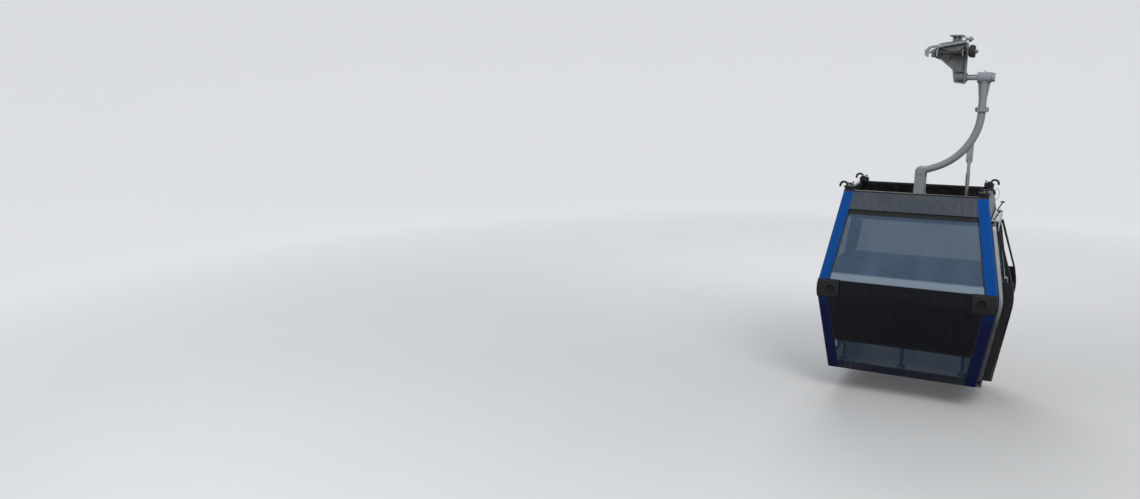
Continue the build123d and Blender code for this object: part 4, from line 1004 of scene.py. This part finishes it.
# Grip: bolts, pins and stiffening ribs on the casting, plates and jaws
axle_x, axle_z, axle_end, plate_face, jaw_x = 0.13, 0.04, -0.572, -0.49, 0.084
axle_nut = ((0, 0.019), (0.002, 0.02), (0.014, 0.02), (0.017, 0.016))
jaw_pin = ((0, 0.026), (0.005, 0.026), (0.006, 0.018), (0.016, 0.018), (0.018, 0.014))
lever_nut = ((0, 0.017), (0.002, 0.02), (0.012, 0.02), (0.015, 0.016))
fittings = Build()
for x in (0.16, 0.04):
    for sx in ends:
        for z in (0.085, -0.005):
            fittings.bolt((sx * x, plate_face, z), outward, 0.009)
for end in ends:
    fittings.lathe((end * axle_x, axle_end, axle_z), outward, axle_nut, 6)
    fittings.lathe((end * jaw_x, -0.13, 0.118), (end, 0, 0), jaw_pin, 6)
    for z in (0.05, -0.01):
        fittings.bolt((end * 0.14, -0.425, z), outward, 0.007)
    fittings.bolt((end * jaw_x, -0.405, 0.165), (end, 0, 0))
    for x in (0.2, 0.07):
        for y in (-0.27, -0.39):
            fittings.bolt((end * x, y, 0.236), down)
for x, z in around(6, 0.045):
    fittings.bolt((x, -0.821, pivot_z + z), outward, 0.007)
fittings.lathe((0, -0.51, 0.2), outward, lever_nut, 6)
fittings.done("grip_fittings", "rod_steel", zinc, "grip")

side_ribs = (((-0.13, 0.1), (-0.44, -0.02)), ((-0.2, -0.08), (-0.44, 0.12)), ((-0.36, -0.22), (-0.45, -0.22)))
rib_x, slant_wide, level_wide, rib_thick = 0.037, 0.046, 0.04, 0.012
web_in, web_out, web_top, web_foot, web_half = 0.045, 0.16, 0.236, 0.192, 0.005
ribs = Build()
for end in ends:
    for (y0, z0), (y1, z1) in side_ribs:
        run = Vector((0.0, y1 - y0, z1 - z0))
        along = run.normalized()
        turn = Matrix(((1, 0, 0), (0, along.y, -along.z), (0, along.z, along.y)))
        size = (slant_wide if run.z else level_wide, run.length, rib_thick)
        ribs.box((end * rib_x, (y0 + y1) / 2, (z0 + z1) / 2), size, turn)
    for y in (-0.3, -0.36):
        ribs.rings([[(end * web_in, y + off, web_top), (end * web_out, y + off, web_top),
                     (end * web_in, y + off, web_foot)] for off in (-web_half, web_half)])
ribs.done("grip_ribs", "grip_casting", body="grip", round_edges=0.0015)

# Grooved tyres on the running wheels
tread, groove_floor = 0.0808, 0.0785
tyre_profile = [(0.0, 0.0635), (0.001, 0.079), (0.004, 0.0805)]
for i in range(4):
    start = 0.009 + i * 0.0095
    tyre_profile += [(start, tread), (start + 0.001, groove_floor), (start + 0.003, groove_floor),
                     (start + 0.004, tread)]
tyre_profile += [(0.048, 0.0805), (0.051, 0.079), (0.052, 0.0635)]
for end, name in ((1, "front"), (-1, "rear")):
    tyre = Build()
    tyre.lathe((end * axle_x, -0.5, axle_z), outward, tyre_profile, 48, closed_ends=False)
    tyre.done(name + "_tyre", "wheel_tread", body="wheel_" + name)

# Studio: how far the floor lies under the cab, its flat radius and bend, and how its own glow grows outwards
floor_drop, flat_radius, bend_radius, wall_top = 0.35, 20.0, 12.0, 26.0
glow_near, glow_far, glow_low, glow_high = 5.0, 18.0, 0.08, 0.62


def make_stage():
    """A pale floor that runs up into a wall in one smooth bowl; light that bounces off it is held low."""
    look = Shader("stage_pale")
    look.set(Roughness=0.9, Specular_IOR_Level=0.1, Emission_Color=(0.86, 0.87, 0.885, 1.0))
    seen = look.seen_rays()
    pale = look.blend(look.noise(0.7, 3.0), (0.58, 0.585, 0.59), (0.61, 0.612, 0.615))
    reach = look.node("ShaderNodeVectorMath", ((0, look.coords),), operation="LENGTH")
    glow = look.spread(reach.outputs["Value"], glow_near, glow_far, glow_low, glow_high)
    look.set(Base_Color=look.blend(seen, (0.1, 0.105, 0.115), pale), Emission_Strength=look.maths(seen, glow))
    profile = [(0.0, 0.0002), (0.0, flat_radius)]
    for i in range(1, 13):
        angle = math.radians(90.0 * i / 12)
        profile.append((bend_radius * (1 - math.cos(angle)), flat_radius + bend_radius * math.sin(angle)))
    profile.append((wall_top, flat_radius + bend_radius))
    bowl = Build()
    bowl.lathe((0, 0, cad_low.z - floor_drop), up, profile, 96, closed_ends=False)
    piece = bowl.piece("stage", look.mat)
    piece.data.shade_smooth()


def make_world():
    """A soft fill of light from all round, and pale where it is seen."""
    scene.world = bpy.data.worlds.new("studio")
    scene.world.use_nodes = True
    sky = Nodes(scene.world.node_tree)
    sky.tree.nodes.clear()
    fill = sky.node("ShaderNodeBackground", (("Color", (0.9, 0.95, 1.0, 1.0)), ("Strength", 0.6)))
    seen = sky.node("ShaderNodeBackground", (("Color", (0.82, 0.85, 0.9, 1.0)), ("Strength", 1.0)))
    mix = sky.node("ShaderNodeMixShader", ((0, sky.seen_rays()), (1, fill.outputs[0]), (2, seen.outputs[0])))
    sky.node("ShaderNodeOutputWorld", ((0, mix.outputs[0]),))


make_stage()
make_world()
